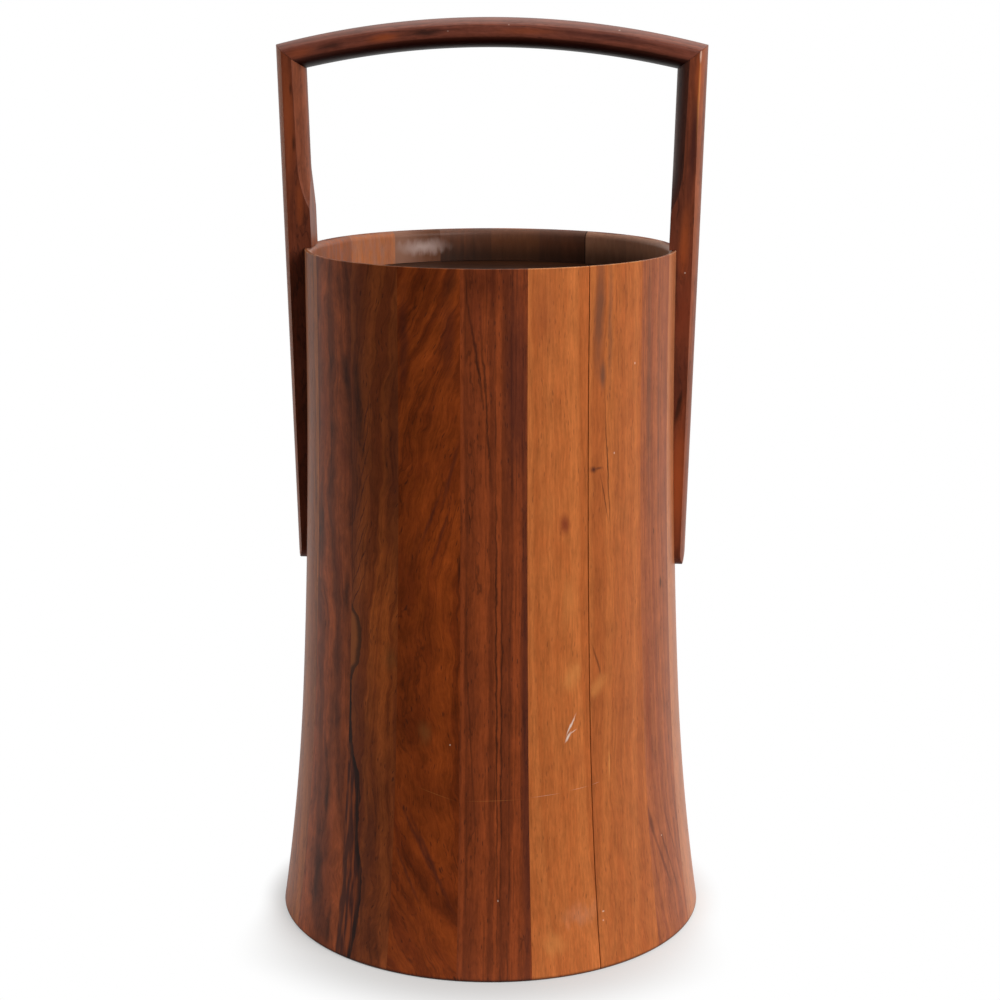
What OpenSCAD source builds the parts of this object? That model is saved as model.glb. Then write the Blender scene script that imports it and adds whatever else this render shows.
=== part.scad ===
// Coopered wooden ice bucket with a fixed handle, a recessed lid and a moulded liner.
// Millimetres. The origin is the centre of the foot, +Z is up, the handle lies along X
// and the front faces -Y.

/* [Body] */
// Height of the rim above the table
rim_h = 362.5; // [345:0.5:385]
// Outside radius of the straight upper body
top_r = 97.3; // [94:0.1:101]
// Height below which the body begins to flare
flare_z = 320; // [300:1:328]
// Radius of the hollow arc with which it begins
flare_r = 3620; // [3200:20:4200]
// Height below which it flares more sharply to the foot
foot_flare_z = 125; // [110:1:140]
// Radius of the hollow arc at the foot
foot_flare_r = 1310; // [1200:10:1800]
// Thickness of the staves below the ledge
wall = 12; // [11:0.5:14]
// Chamfer on the outer edge of the foot
foot_chamfer = 1; // [0.5:0.1:2]
// Height of the bevel inside the foot
chime_h = 8; // [5:0.5:10]

/* [Mouth] */
// Thickness of the lip that stands round the lid
lip_t = 4.1; // [3.5:0.1:5]
// Flat that is left on top of the lip, outside its rounded inner edge
lip_flat = 0.6; // [0.4:0.1:1.2]
// Depth of the ledge below the rim
ledge_depth = 30; // [27:0.5:34]

/* [Staves] */
// Direction of the first stave joint, in degrees from the front towards +X
first_joint = -79.5; // [-83:0.5:-76]

/* [Bottom] */
// Height of the underside of the bottom boards
bottom_z = 16; // [12:1:22]
// Thickness of the bottom boards
bottom_t = 12; // [10:0.5:16]
// Width of the middle bottom board
bottom_mid_w = 72; // [60:1:84]
// Width of the groove that holds the bottom boards
croze_w = 6; // [5:0.5:7]
// Depth of that groove
croze_d = 5; // [4:0.5:6]

/* [Liner] */
// Wall thickness of the liner
liner_t = 2.4; // [2:0.1:3]
// Depth of the liner below the ledge
liner_depth = 270; // [220:1:295]
// How much narrower the liner is at its bottom
liner_draft = 6.5; // [4:0.5:9]
// Rounding of the liner's bottom corner
liner_round = 16; // [10:1:24]

/* [Lid] */
// Depth of the lid's top face below the rim
lid_recess = 17.5; // [16:0.5:19]
// Clearance round the lid
lid_gap = 0.9; // [0.6:0.1:1.2]
// Depth of the plug below the liner's flange
plug_h = 14; // [13:0.5:18]
// Width of the middle lid board
lid_mid_w = 82; // [78:1:90]
// Radius of the turned hollow under the grip
dish_r = 35; // [32:0.5:37]
// Depth of that hollow
dish_depth = 16; // [14:0.5:17]
// Width of the grip bar
grip_w = 15; // [13:0.5:18]
// Thickness of the grip bar at its ends
grip_t = 7; // [6:0.5:7.5]
// Rise of the grip bar above the lid
grip_rise = 3; // [2:0.25:4]

/* [Handle] */
// Height of the top of the handle
handle_h = 480; // [470:0.5:495]
// Width over the two top corners
handle_w = 222.4; // [220:0.2:226]
// Radius of the outside of the arch
arch_r = 454; // [430:2:520]
// Thickness of the arch, and of the arms where they meet it
handle_t = 15.2; // [14.5:0.1:16]
// Depth of the arch from front to back
handle_d = 22.5; // [21:0.5:24]
// Rise of the crowned outer face
crown_rise = 4.1; // [3:0.1:4.5]
// Depth of the rounding under the hand
hand_round = 6.1; // [5.5:0.1:7]

/* [Arms] */
// Width over the bottom ends of the arms
foot_w = 208.8; // [207.5:0.2:211]
// Height of the bottom ends of the arms
arm_foot_z = 193.8; // [180:0.5:215]
// Depth of an arm at its bottom end, from front to back
arm_foot_d = 18; // [16:0.5:20]
// Rounding of the two lower corners of an arm, seen from the side
arm_foot_round = 6.5; // [4:0.5:7]
// Height above the rim at which the rounding under the hand begins to run out
runout_h = 43; // [38:1:50]
// Radius of the curve along which it runs out
runout_r = 56; // [45:1:65]

/* [Fixings] */
// Radius of the dowels in the bottom and the lid
dowel_r = 3; // [2.5:0.5:3.5]
// Length of those dowels
dowel_l = 26; // [20:1:30]
// Radius of the dowels in the handle mitres
mitre_dowel_r = 2.5; // [2:0.25:2.5]
// Length of the dowels in the handle mitres
mitre_dowel_l = 12; // [10:0.5:13]
// Radius of the screw shanks
screw_r = 2; // [1.75:0.25:2.25]
// Wood that is left between a screw's point and the outside of an arm
screw_cover = 4; // [3.5:0.25:5]

/* [Hidden] */
// Facets of full circles, and of the large arcs
$fn = 120;
fine_fn = 1440;
ring_fn = 180;

// Overlap that lets one cut run past a face, and how far a round bites in where it meets a flat
past = 2;
bite = 0.15;

// Widths of the staves in degrees, from the first joint round by the right
stave_widths = [
    19, 19.5, 17.6, 19.1, 19.4, 19, 21.2, 18.2, 21, 18,
    19, 18.3, 17.5, 17, 18, 17.3, 20, 20.8, 20.1
];
stave_count = len(stave_widths);
function widths_before(n) = n == 0 ? 0 : stave_widths[n - 1] + widths_before(n - 1);
function joint_angle(n) =
    first_joint - 90 + 360 * widths_before(n) / widths_before(stave_count);
function stave_name(n) = str("stave_", n < 10 ? "0" : "", n);

// Flare: two arcs that touch where the upper one has turned this far
flare_turn = asin((flare_z - foot_flare_z) / flare_r);
flare_centre = [top_r + flare_r, flare_z];
foot_flare_centre = flare_centre - (flare_r - foot_flare_r) * [cos(flare_turn), sin(flare_turn)];
function arc_x(centre, r, z) = centre.x - sqrt(pow(r, 2) - pow(centre.y - z, 2));
// Outside radius of the body at height z
function body_r(z) =
    z >= flare_z ? top_r
    : z >= foot_flare_z ? arc_x(flare_centre, flare_r, z)
    : arc_x(foot_flare_centre, foot_flare_r, z);
foot_r = body_r(0);
hollow_r = top_r - wall;

// Mouth
ledge_z = rim_h - ledge_depth;
mouth_r = top_r - lip_t;
lip_round = lip_t - lip_flat;

// Bevel inside the foot: how far it cuts to either side of the wall's inner face
chime_w = wall / 3;

// Bottom boards: a tongue round their edge runs in the groove of the staves
croze_z = bottom_z + (bottom_t - croze_w) / 2;
croze_r = body_r(croze_z + croze_w) - wall + croze_d;
bottom_fit = 0.2;
bottom_r = body_r(bottom_z + bottom_t) - wall - bottom_fit;

// Liner
liner_fit = 0.6;
flange_t = 2.5;
liner_r = hollow_r - liner_fit;
liner_z = ledge_z - liner_depth;
flange_r = mouth_r - lid_gap;

// Lid: its rim rests on the liner's flange, and its plug fills the liner's mouth
lid_lift = 0.3;
lid_z = ledge_z + flange_t + lid_lift;
lid_top = rim_h - lid_recess;
lid_r = mouth_r - lid_gap;
plug_r = liner_r - liner_t - lid_gap;
plug_z = lid_z - plug_h;
lid_chamfer = 1.2;
dish_z = lid_top - dish_depth;
dish_round = 9;
// Length of the seats for the ends of the grip bar, which reach across the board joints
grip_seat = 16;
grip_l = 2 * (dish_r + grip_seat);
grip_z = lid_top - grip_t;
grip_r = (pow(grip_l / 2, 2) + pow(grip_rise, 2)) / (2 * grip_rise);
// Coves along the sides of the grip bar: radius, depth and height of their axis
grip_cove_r = 14;
grip_cove = 2;
grip_cove_z = grip_z + grip_t / 3;

// Handle: an arc and two leaning lines in the XZ plane, written as [x, z]
arch_centre = [0, handle_h - arch_r];
corner_out = arch_centre + [handle_w / 2, sqrt(pow(arch_r, 2) - pow(handle_w / 2, 2))];
foot_out = [foot_w / 2, arm_foot_z];
lean = atan2(corner_out.x - foot_out.x, corner_out.y - foot_out.y);
arm_up = [sin(lean), cos(lean)];
arm_side = [cos(lean), -sin(lean)];
// The inner corner is where the arm's inner line meets the underside of the arch
arch_in_r = arch_r - handle_t;
from_centre = corner_out - handle_t * arm_side - arch_centre;
along = -from_centre * arm_up
    + sqrt(pow(from_centre * arm_up, 2) - from_centre * from_centre + pow(arch_in_r, 2));
corner_in = arch_centre + from_centre + along * arm_up;
mitre_mid = (corner_out + corner_in) / 2;
mitre_dir = (corner_out - corner_in) / norm(corner_out - corner_in);
mitre_angle = atan2(mitre_dir.y, mitre_dir.x);
// Inner line of an arm, from the rim to the inner corner
shoulder = [mouth_r, rim_h];
inner_lean = atan2(corner_in.x - shoulder.x, corner_in.y - shoulder.y);
runout_point = shoulder + runout_h * [tan(inner_lean), 1];
// Radii of the crowned face and of the rounding, from their rise over the depth
crown_r = (pow(handle_d / 2, 2) + pow(crown_rise, 2)) / (2 * crown_rise);
hand_r = (pow(handle_d / 2, 2) + pow(hand_round, 2)) / (2 * hand_round);
// Turn of the curve along which the rounding runs out
runout_turn = 40;
// Curve that eases the crowned face in towards the foot of an arm: radius and height
arm_ease_r = 28;
arm_ease_h = 8;
// Spare length of the arch in degrees, and of the crown, before they are cut to shape
arch_spare = 2;
crown_spare = 10;

// Screws, two in each arm, driven outwards from the hollow of the body
screw_drops = [15, 70];
screw_head_r = 4;
screw_head_h = 2.4;
screw_point = 3;
screw_slot = [1, 1.1];
function arm_out_x(z) = foot_out.x + (z - foot_out.y) * tan(lean);

// Dowels: how far from the middle they sit
bottom_dowel_x = 52;
lid_dowel_x = 54;

rosewood = [0.42, 0.20, 0.12];
dark_wood = [0.36, 0.17, 0.10];
lid_wood = [0.45, 0.23, 0.13];
pale_wood = [0.72, 0.55, 0.36];
ivory = [0.90, 0.87, 0.78];
brass = [0.78, 0.62, 0.30];

// What the two arcs of the flare take away. The upper one ends at the line through both centres,
// and the lower one lies inside its circle
module flare_waste(inset) {
    r = flare_r + inset;
    translate(foot_flare_centre) circle(r = foot_flare_r + inset, $fn = fine_fn);
    translate(flare_centre) intersection() {
        circle(r = r, $fn = fine_fn);
        rotate(flare_turn) translate([-2 * r, 0]) square([4 * r, 2 * r]);
    }
}

// Half-section of the turned outside of the body, moved inwards by inset
module body_section(inset = 0) {
    difference() {
        square([foot_r + past, rim_h]);
        flare_waste(inset);
        translate([top_r - inset, flare_z]) square([foot_r, rim_h]);
    }
}

// Corner of a square outline, outside a quarter circle of radius r centred on the origin
module corner_waste(r) {
    difference() {
        square(r + past);
        circle(r);
    }
}

// Body as one solid, which the arms are coped to
module body_solid() {
    rotate_extrude($fn = ring_fn) body_section();
}

// Section of every stave: flare, rabbet for the lid, rounded lip, croze and bevelled foot
module stave_section() {
    foot_in = foot_r - wall;
    difference() {
        body_section();
        body_section(wall);
        translate([0, ledge_z]) square([mouth_r, ledge_depth + past]);
        translate([mouth_r + lip_round, rim_h - lip_round]) mirror([1, 0])
            corner_waste(lip_round);
        translate([0, croze_z]) square([croze_r, croze_w]);
        polygon([[0, 0], [foot_in + chime_w, 0], [foot_in - chime_w, chime_h], [0, chime_h]]);
        translate([foot_r, 0]) rotate(45) square(sqrt(2) * foot_chamfer, center = true);
    }
}

// One stave, cut out by its two radial joints
module stave(n) {
    start = joint_angle(n - 1);
    color(n % 3 == 0 ? dark_wood : rosewood) difference() {
        rotate(start) rotate_extrude(angle = joint_angle(n) - start, $fn = ring_fn)
            stave_section();
        screw_set();
    }
}

// Bottom boards, from the revolved disc with its tongue
module bottom_disc() {
    rotate_extrude($fn = ring_fn) {
        translate([0, bottom_z]) square([bottom_r, bottom_t]);
        translate([0, croze_z]) square([croze_r - bottom_fit, croze_w]);
    }
}

// Slab that cuts one board out of a disc: side is -1 for front, 0 for middle, 1 for back
module board_slab(side, mid_w, reach) {
    w = side == 0 ? mid_w : reach;
    y = side * (mid_w + reach) / 2;
    translate([0, y, rim_h / 2]) cube([2 * reach, w, rim_h], center = true);
}

// Four dowels across the two joints of a three-board disc
module board_dowels(x, mid_w, z) {
    for (sx = [-1, 1], sy = [-1, 1])
        translate([sx * x, sy * mid_w / 2, z]) rotate([90, 0, 0])
            cylinder(r = dowel_r, h = dowel_l, center = true);
}

module bottom_dowel_set() {
    board_dowels(bottom_dowel_x, bottom_mid_w, bottom_z + bottom_t / 2);
}

module bottom_board(side) {
    color(dark_wood) difference() {
        intersection() {
            bottom_disc();
            board_slab(side, bottom_mid_w, foot_r);
        }
        bottom_dowel_set();
    }
}

module bottom_dowels() {
    color(pale_wood) bottom_dowel_set();
}

// Half-section of the tub, inside or outside its wall
module tub_section(inset) {
    low_r = liner_r - liner_draft - inset;
    low = liner_z + inset;
    corner = liner_round - inset;
    difference() {
        polygon([
            [0, low], [low_r, low], [low_r, low + corner],
            [liner_r - inset, ledge_z], [liner_r - inset, rim_h], [0, rim_h]
        ]);
        translate([low_r - corner, low + corner]) mirror([0, 1]) corner_waste(corner);
    }
}

module liner() {
    color(ivory) rotate_extrude($fn = ring_fn) {
        difference() {
            intersection() {
                tub_section(0);
                square([flange_r, ledge_z + flange_t]);
            }
            tub_section(liner_t);
        }
        translate([liner_r - liner_t, ledge_z])
            square([flange_r - liner_r + liner_t, flange_t]);
    }
}

// Section of the lid: rim with a chamfered edge, and the plug under it
module lid_section() {
    difference() {
        translate([0, lid_z]) square([lid_r, lid_top - lid_z]);
        translate([lid_r, lid_top]) rotate(45) square(sqrt(2) * lid_chamfer, center = true);
    }
    translate([0, plug_z]) square([plug_r, plug_h]);
}

// Turned hollow that leaves room for the fingers round the grip
module dish() {
    rotate_extrude($fn = ring_fn) difference() {
        translate([0, dish_z]) square([dish_r, dish_depth + past]);
        translate([dish_r - dish_round, dish_z + dish_round]) mirror([0, 1])
            corner_waste(dish_round);
    }
}

// Grip bar: bowed along the top, hollowed along both sides
module grip_bar() {
    difference() {
        rotate([90, 0, 90]) linear_extrude(grip_w, center = true) intersection() {
            translate([-grip_l / 2, grip_z]) square([grip_l, grip_t + grip_rise]);
            translate([0, lid_top + grip_rise - grip_r]) circle(grip_r, $fn = fine_fn);
        }
        for (side = [-1, 1])
            translate([side * (grip_w / 2 + grip_cove_r - grip_cove), 0, grip_cove_z])
                rotate([90, 0, 0]) cylinder(r = grip_cove_r, h = 2 * dish_r, center = true);
    }
}

// Seats that the two ends of the grip bar are let into
module grip_seats() {
    for (side = [-1, 1])
        translate([-grip_w / 2, side * (dish_r - past) - (side < 0 ? grip_seat + past : 0), grip_z])
            cube([grip_w, grip_seat + past, grip_t + past]);
}

module lid_dowel_set() {
    board_dowels(lid_dowel_x, lid_mid_w, (plug_z + lid_top) / 2);
}

module lid_board(side) {
    color(lid_wood) difference() {
        intersection() {
            rotate_extrude($fn = ring_fn) lid_section();
            board_slab(side, lid_mid_w, lid_r + past);
        }
        if (side == 0) dish();
        grip_seats();
        lid_dowel_set();
    }
}

module lid_dowels() {
    color(pale_wood) lid_dowel_set();
}

module lid_grip() {
    color(dark_wood) grip_bar();
}

// Section of the handle: crowned outside at x = outer, rounded inside for the hand
module handle_section(outer) {
    intersection() {
        translate([outer - handle_t - past, -handle_d / 2])
            square([handle_t + 2 * past, handle_d]);
        translate([outer - crown_r, 0]) circle(crown_r);
        translate([outer - handle_t + hand_r, 0]) circle(hand_r);
    }
}

// Outline in the XZ plane, made solid along Y
module across(depth) {
    rotate([90, 0, 0]) linear_extrude(depth, center = true) children();
}

// Arch, swept about its centre and cut at the two mitres
module handle_arch() {
    sweep = 2 * (asin(handle_w / 2 / arch_r) + arch_spare);
    inside = corner_in - handle_t * mitre_dir;
    outside = corner_out + handle_t * mitre_dir;
    color(rosewood) difference() {
        intersection() {
            translate([0, 0, arch_centre.y]) rotate([90, 0, 0]) rotate(90 - sweep / 2)
                rotate_extrude(angle = sweep, $fn = fine_fn) handle_section(arch_r);
            across(2 * handle_d) polygon([
                inside, outside, [outside.x, handle_h + past], [-outside.x, handle_h + past],
                [-outside.x, outside.y], [-inside.x, inside.y]
            ]);
        }
        mitre_dowel_set();
    }
}

// Arm outline from the front: foot, mitre and shoulder over the rim. Its outer edge stands
// clear of the crowned face, which the cylinder in arm_right() gives it
module arm_outline() {
    clear = past / 2;
    ease = foot_out + arm_ease_h / cos(lean) * arm_up - (arm_ease_r - bite) * arm_side;
    difference() {
        polygon([
            foot_out + [clear, 0], corner_out + past * mitre_dir, corner_in,
            shoulder, [mouth_r, arm_foot_z]
        ]);
        translate(ease) rotate(-lean) mirror([0, 1]) corner_waste(arm_ease_r);
    }
}

// Arm outline from the side: a taper to the foot, whose corners are rounded
module arm_taper() {
    inset = arm_foot_round - bite;
    difference() {
        polygon([
            [-arm_foot_d / 2, arm_foot_z], [arm_foot_d / 2, arm_foot_z],
            [handle_d / 2, corner_out.y], [handle_d / 2, handle_h + past],
            [-handle_d / 2, handle_h + past], [-handle_d / 2, corner_out.y]
        ]);
        for (side = [0, 1]) mirror([side, 0])
            translate([arm_foot_d / 2 - inset, arm_foot_z + inset]) mirror([0, 1])
                corner_waste(arm_foot_round);
    }
}

// Waste of the rounding under the hand: x runs into the arm from its inner line
module hand_waste() {
    difference() {
        translate([-past, -handle_d]) square([hand_r + past, 2 * handle_d]);
        translate([hand_r, 0]) circle(hand_r);
    }
}

// The rounding along an arm, with the curve by which it runs out above the rim
module hand_cut() {
    translate([runout_point.x, 0, runout_point.y]) rotate([0, inner_lean, 0]) {
        linear_extrude(handle_h - rim_h) hand_waste();
        translate([-runout_r, 0, 0]) rotate([-90, 0, 0])
            rotate_extrude(angle = runout_turn, $fn = 2 * ring_fn)
                translate([runout_r, 0]) hand_waste();
    }
}

// Right arm: tapered both ways, crowned outside, rounded inside and coped to the body
module arm_right() {
    crown_foot = foot_out - crown_r * arm_side;
    difference() {
        intersection() {
            across(handle_d) arm_outline();
            rotate([90, 0, 90]) linear_extrude(handle_w) arm_taper();
            translate([crown_foot.x, 0, crown_foot.y]) rotate([0, lean, 0])
                translate([0, 0, -crown_spare])
                    cylinder(r = crown_r, h = handle_h - arm_foot_z + crown_spare);
        }
        body_solid();
        hand_cut();
        mitre_dowel(1);
        screw_set();
    }
}

module handle_arm_right() {
    color(rosewood) arm_right();
}

module handle_arm_left() {
    color(rosewood) mirror([1, 0, 0]) arm_right();
}

// Dowel square to a mitre: side is 1 for the right corner, -1 for the left
module mitre_dowel(side) {
    translate([side * mitre_mid.x, 0, mitre_mid.y]) rotate([0, -side * mitre_angle, 0])
        cylinder(r = mitre_dowel_r, h = mitre_dowel_l, center = true);
}

module mitre_dowel_set() {
    for (side = [-1, 1]) mitre_dowel(side);
}

module mitre_dowels() {
    color(pale_wood) mitre_dowel_set();
}

// Countersunk wood screw along +X at height z, its head flush with the hollow of the body
module screw(z) {
    head_x = body_r(z) - wall;
    length = arm_out_x(z) - screw_cover - head_x;
    translate([head_x, 0, z]) rotate([0, 90, 0]) rotate_extrude() polygon([
        [0, 0], [screw_head_r, 0], [screw_r, screw_head_h],
        [screw_r, length - screw_point], [0, length]
    ]);
}

module screw_set() {
    for (side = [0, 1], drop = screw_drops)
        mirror([side, 0, 0]) screw(ledge_z - drop);
}

module arm_screws() {
    color(brass) difference() {
        screw_set();
        for (side = [-1, 1], drop = screw_drops)
            translate([side * (body_r(ledge_z - drop) - wall), 0, ledge_z - drop])
                cube([2 * screw_slot.y, 2 * (screw_head_r + past), screw_slot.x], center = true);
    }
}

for (n = [1 : stave_count]) stave(n);
bottom_board(-1);  // bottom_board_front
bottom_board(0);  // bottom_board_middle
bottom_board(1);  // bottom_board_back
bottom_dowels();
liner();
handle_arch();
handle_arm_right();
handle_arm_left();
mitre_dowels();
arm_screws();
lid_board(-1);  // lid_board_front
lid_board(0);  // lid_board_middle
lid_board(1);  // lid_board_back
lid_dowels();
lid_grip();
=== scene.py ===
# %% [markdown]
# A rosewood ice bucket, built the way a cooper builds one: nineteen staves glued round a circle and
# turned, a handle of three pieces mitred at the corners, a lid sunk in the mouth and a plastic tub
# inside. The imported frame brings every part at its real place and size. This lesson gives each part
# its eased edges and its own piece of wood, one cell at a time.

# %% Load the frame
import math
from contextlib import contextmanager
import bmesh
import bpy
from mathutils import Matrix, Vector


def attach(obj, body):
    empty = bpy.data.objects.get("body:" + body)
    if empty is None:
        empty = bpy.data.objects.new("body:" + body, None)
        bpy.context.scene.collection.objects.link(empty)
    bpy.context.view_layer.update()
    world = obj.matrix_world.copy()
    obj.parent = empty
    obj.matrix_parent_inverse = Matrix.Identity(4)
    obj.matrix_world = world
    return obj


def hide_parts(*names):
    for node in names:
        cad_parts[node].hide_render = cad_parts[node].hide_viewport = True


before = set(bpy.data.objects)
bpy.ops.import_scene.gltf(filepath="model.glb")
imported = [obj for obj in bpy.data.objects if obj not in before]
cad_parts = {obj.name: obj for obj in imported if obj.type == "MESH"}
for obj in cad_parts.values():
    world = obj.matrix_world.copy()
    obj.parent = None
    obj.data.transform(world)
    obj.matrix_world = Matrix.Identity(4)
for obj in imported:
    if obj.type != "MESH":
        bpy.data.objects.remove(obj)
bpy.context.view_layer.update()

MM = 0.001
scene = bpy.context.scene
scene.view_settings.view_transform = "Standard"

# %% [markdown]
# The photograph was taken a little above the rim, from about a metre away, slightly to the right.
# A camera is fixed by where it stands, how far it looks down, and its lens. The lens follows from
# the focal length in pixels: a 36 mm sensor carries the 1000 pixel frame.

# %% Camera
FRAME_PX = 1000
SENSOR_MM = 36
FOCAL_PX = 2109
AXIS_PX = 490.8
CAMERA_AWAY = 1106.8 * MM
CAMERA_UP = 484 * MM
CAMERA_SIDE = math.radians(4.5)
CAMERA_DOWN = math.radians(13.11)

camera_data = bpy.data.cameras.new("camera")
camera_data.sensor_width = SENSOR_MM
camera_data.lens = SENSOR_MM * FOCAL_PX / FRAME_PX
camera_data.shift_x = 0.5 - AXIS_PX / FRAME_PX
camera = bpy.data.objects.new("camera", camera_data)
camera.location = (
    CAMERA_AWAY * math.sin(CAMERA_SIDE), -CAMERA_AWAY * math.cos(CAMERA_SIDE), CAMERA_UP)
camera.rotation_euler = (math.pi / 2 - CAMERA_DOWN, 0, CAMERA_SIDE)
scene.collection.objects.link(camera)
scene.camera = camera
print("camera: lens", round(camera_data.lens, 2), "mm")

# %% [markdown]
# Materials and Geometry Nodes are both trees of nodes joined by wires. Written out node by node, a
# formula is hard to read, so a small class lets a wire be added, multiplied and so on like a number.
# Each operator quietly makes a Math node.

# %% Node formulas
def feed(tree, slot, value):
    """Joins a wire to an input, or sets the input to a plain value. A colour is three numbers."""
    if isinstance(value, Signal):
        value = value.socket
    if isinstance(value, bpy.types.NodeSocket):
        tree.links.new(value, slot)
    elif slot.type == "RGBA":
        slot.default_value = (*value, 1)
    else:
        slot.default_value = value


def feed_row(tree, slots, values):
    """Feeds a row of inputs in order."""
    for slot, value in zip(slots, values):
        feed(tree, slot, value)


def add(tree, kind, settings=None, **inputs):
    """A node of that kind. In the name of an input, _ stands for a space."""
    made = tree.nodes.new(kind)
    for name, value in (settings or {}).items():
        setattr(made, name, value)
    for name, value in inputs.items():
        feed(tree, made.inputs[name.replace("_", " ")], value)
    return made


class Signal:
    """A number that runs along a wire of a node tree."""

    def __init__(self, tree, socket):
        self.tree = tree
        self.socket = socket

    def math(self, operation, *others):
        made = add(self.tree, "ShaderNodeMath", {"operation": operation})
        feed_row(self.tree, made.inputs, (self, *others))
        return Signal(self.tree, made.outputs[0])

    def __add__(self, other):
        return self.math("ADD", other)

    def __sub__(self, other):
        return self.math("SUBTRACT", other)

    def __mul__(self, other):
        return self.math("MULTIPLY", other)

    def __truediv__(self, other):
        return self.math("DIVIDE", other)

    def __abs__(self):
        return self.math("ABSOLUTE")

    def ramp(self, low, high):
        """An S-shaped step: 0 at low, 1 at high."""
        made = add(self.tree, "ShaderNodeMapRange", {"interpolation_type": "SMOOTHSTEP"},
                   Value=self, From_Min=low, From_Max=high)
        return Signal(self.tree, made.outputs[0])


print("formulas: ready")

# %% [markdown]
# A few nodes are wanted in every tree: the parts of a vector, noise, and a blend of two colours. A node
# group is a tree with sockets of its own. It is built once and then placed wherever it is needed, with
# other values on its inputs.

# %% Node shorthands
MIX_SLOTS = (0, 6, 7)
MIX_RESULT = 2


def split(tree, wire):
    """The three numbers of a vector."""
    parts = add(tree, "ShaderNodeSeparateXYZ", Vector=wire)
    return [Signal(tree, socket) for socket in parts.outputs]


def vector(tree, x, y, z):
    """A vector of three numbers."""
    return add(tree, "ShaderNodeCombineXYZ", X=x, Y=y, Z=z).outputs[0]


def noise(tree, place, detail=2.0, roughness=0.5):
    """Smooth noise around 0.5, at a place in space or, for a single number, along a line."""
    along_line = isinstance(place, Signal)
    made = add(tree, "ShaderNodeTexNoise", {"noise_dimensions": "1D" if along_line else "3D"},
               Scale=1.0, Detail=detail, Roughness=roughness)
    feed(tree, made.inputs["W" if along_line else "Vector"], place)
    return Signal(tree, made.outputs[0])


def mix(tree, factor, first, second, mode="MIX"):
    """Two colours blended by a factor from 0 to 1."""
    made = add(tree, "ShaderNodeMix", {"data_type": "RGBA", "blend_type": mode})
    feed_row(tree, [made.inputs[place] for place in MIX_SLOTS], (factor, first, second))
    return made.outputs[MIX_RESULT]


def mix_shaders(tree, factor, first, second):
    """Two shader nodes blended by a factor from 0 to 1."""
    made = add(tree, "ShaderNodeMixShader")
    feed_row(tree, made.inputs, (factor, first.outputs[0], second.outputs[0]))
    return made.outputs[0]


def new_group(name, kind, inputs, outputs):
    """An empty node group with named sockets, and its two end nodes."""
    tree = bpy.data.node_groups.new(name, kind)
    for label, (socket, value) in inputs.items():
        made = tree.interface.new_socket(label, in_out="INPUT", socket_type="NodeSocket" + socket)
        if value is not None:
            made.default_value = value
    for label, socket in outputs.items():
        tree.interface.new_socket(label, in_out="OUTPUT", socket_type="NodeSocket" + socket)
    return tree, tree.nodes.new("NodeGroupInput"), tree.nodes.new("NodeGroupOutput")


def reader(tree, source):
    """A function that gives an input of a group by its name."""
    return lambda name: Signal(tree, source.outputs[name])


print("shorthands: ready")

# %% [markdown]
# The object stands on a white sweep, lit by a large soft lamp from the front right. White paper hangs
# behind it and at its sides, and the room in front is dim, above all near the ground. So oiled wood
# shines at its edges, and stays deep where it faces the camera or the floor. The world holds both:
# plain white for what the camera sees, and that studio for the light.

# %% Studio light
PAPER_LEVEL = 0.75
PAPER_EDGE = (-0.45, 0.50)
ROOM_LOW = 0.07
ROOM_HIGH = 0.36
ROOM_EDGE = (-0.05, 0.85)
DAYLIGHT = (1.0, 0.985, 0.965)
WHITE = (1, 1, 1)

world = bpy.data.worlds.new("studio")
world.use_nodes = True
scene.world = world
sky = world.node_tree
_, toward_paper, upward = split(sky, add(sky, "ShaderNodeTexCoord").outputs["Generated"])
paper = toward_paper.ramp(*PAPER_EDGE) * PAPER_LEVEL
room = upward.ramp(*ROOM_EDGE) * (ROOM_HIGH - ROOM_LOW) + ROOM_LOW
lit = add(sky, "ShaderNodeBackground", Color=DAYLIGHT, Strength=paper.math("MAXIMUM", room))
white = add(sky, "ShaderNodeBackground", Color=WHITE, Strength=1.0)
seen = add(sky, "ShaderNodeLightPath").outputs["Is Camera Ray"]
feed(sky, sky.nodes["World Output"].inputs["Surface"], mix_shaders(sky, seen, lit, white))


def softbox(name, place, aim, size, power, colour):
    """A square lamp that looks from a place at a point."""
    lamp = bpy.data.lights.new(name, "AREA")
    lamp.size = size
    lamp.energy = power
    lamp.color = colour
    holder = bpy.data.objects.new(name, lamp)
    holder.location = place
    holder.rotation_euler = (Vector(aim) - Vector(place)).to_track_quat("-Z", "Y").to_euler()
    scene.collection.objects.link(holder)


softbox("key_lamp", place=(0.98, -0.90, 1.05), aim=(0, 0, 0.25), size=1.0, power=20,
        colour=(1.0, 0.97, 0.93))
softbox("top_lamp", place=(0.1, 0.75, 1.7), aim=(0, 0, 0.2), size=1.2, power=4,
        colour=(1.0, 0.99, 0.98))
print("studio: two lamps")

# %% [markdown]
# The sweep is one sheet of paper. It glows for the camera, so it is white whatever the lamps do, but
# less close to the foot, where the lamps draw the shadow. Polished faces see the glow of the paper
# behind the object too. In front the sheet is painted nearly black, as painted shade for the dim room
# there: it throws back little light, and it darkens the shadow in front of the foot.

# %% Floor
FLOOR_SIZE = 8.0
PAPER_TONES = ((0.86, 0.86, 0.86), (0.90, 0.90, 0.90))
# Painted shade: the paper in front is dark, for the dim room there.
DIM_FLOOR = (0.06, 0.058, 0.055)
BEHIND_EDGE = (-0.30, 0.0)
MIRRORED_SHARE = 0.4
SHADOW_START = 0.113
SHADOW_END = 0.165
SHADOW_SIDE = (-0.11, -0.02)
SHORTER_BEHIND = -0.034
GLOW_AT_FOOT = 0.38


def new_finish(name):
    """A new material, its tree and its shader."""
    material = bpy.data.materials.new(name)
    material.use_nodes = True
    tree = material.node_tree
    return material, tree, tree.nodes["Principled BSDF"]


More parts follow.
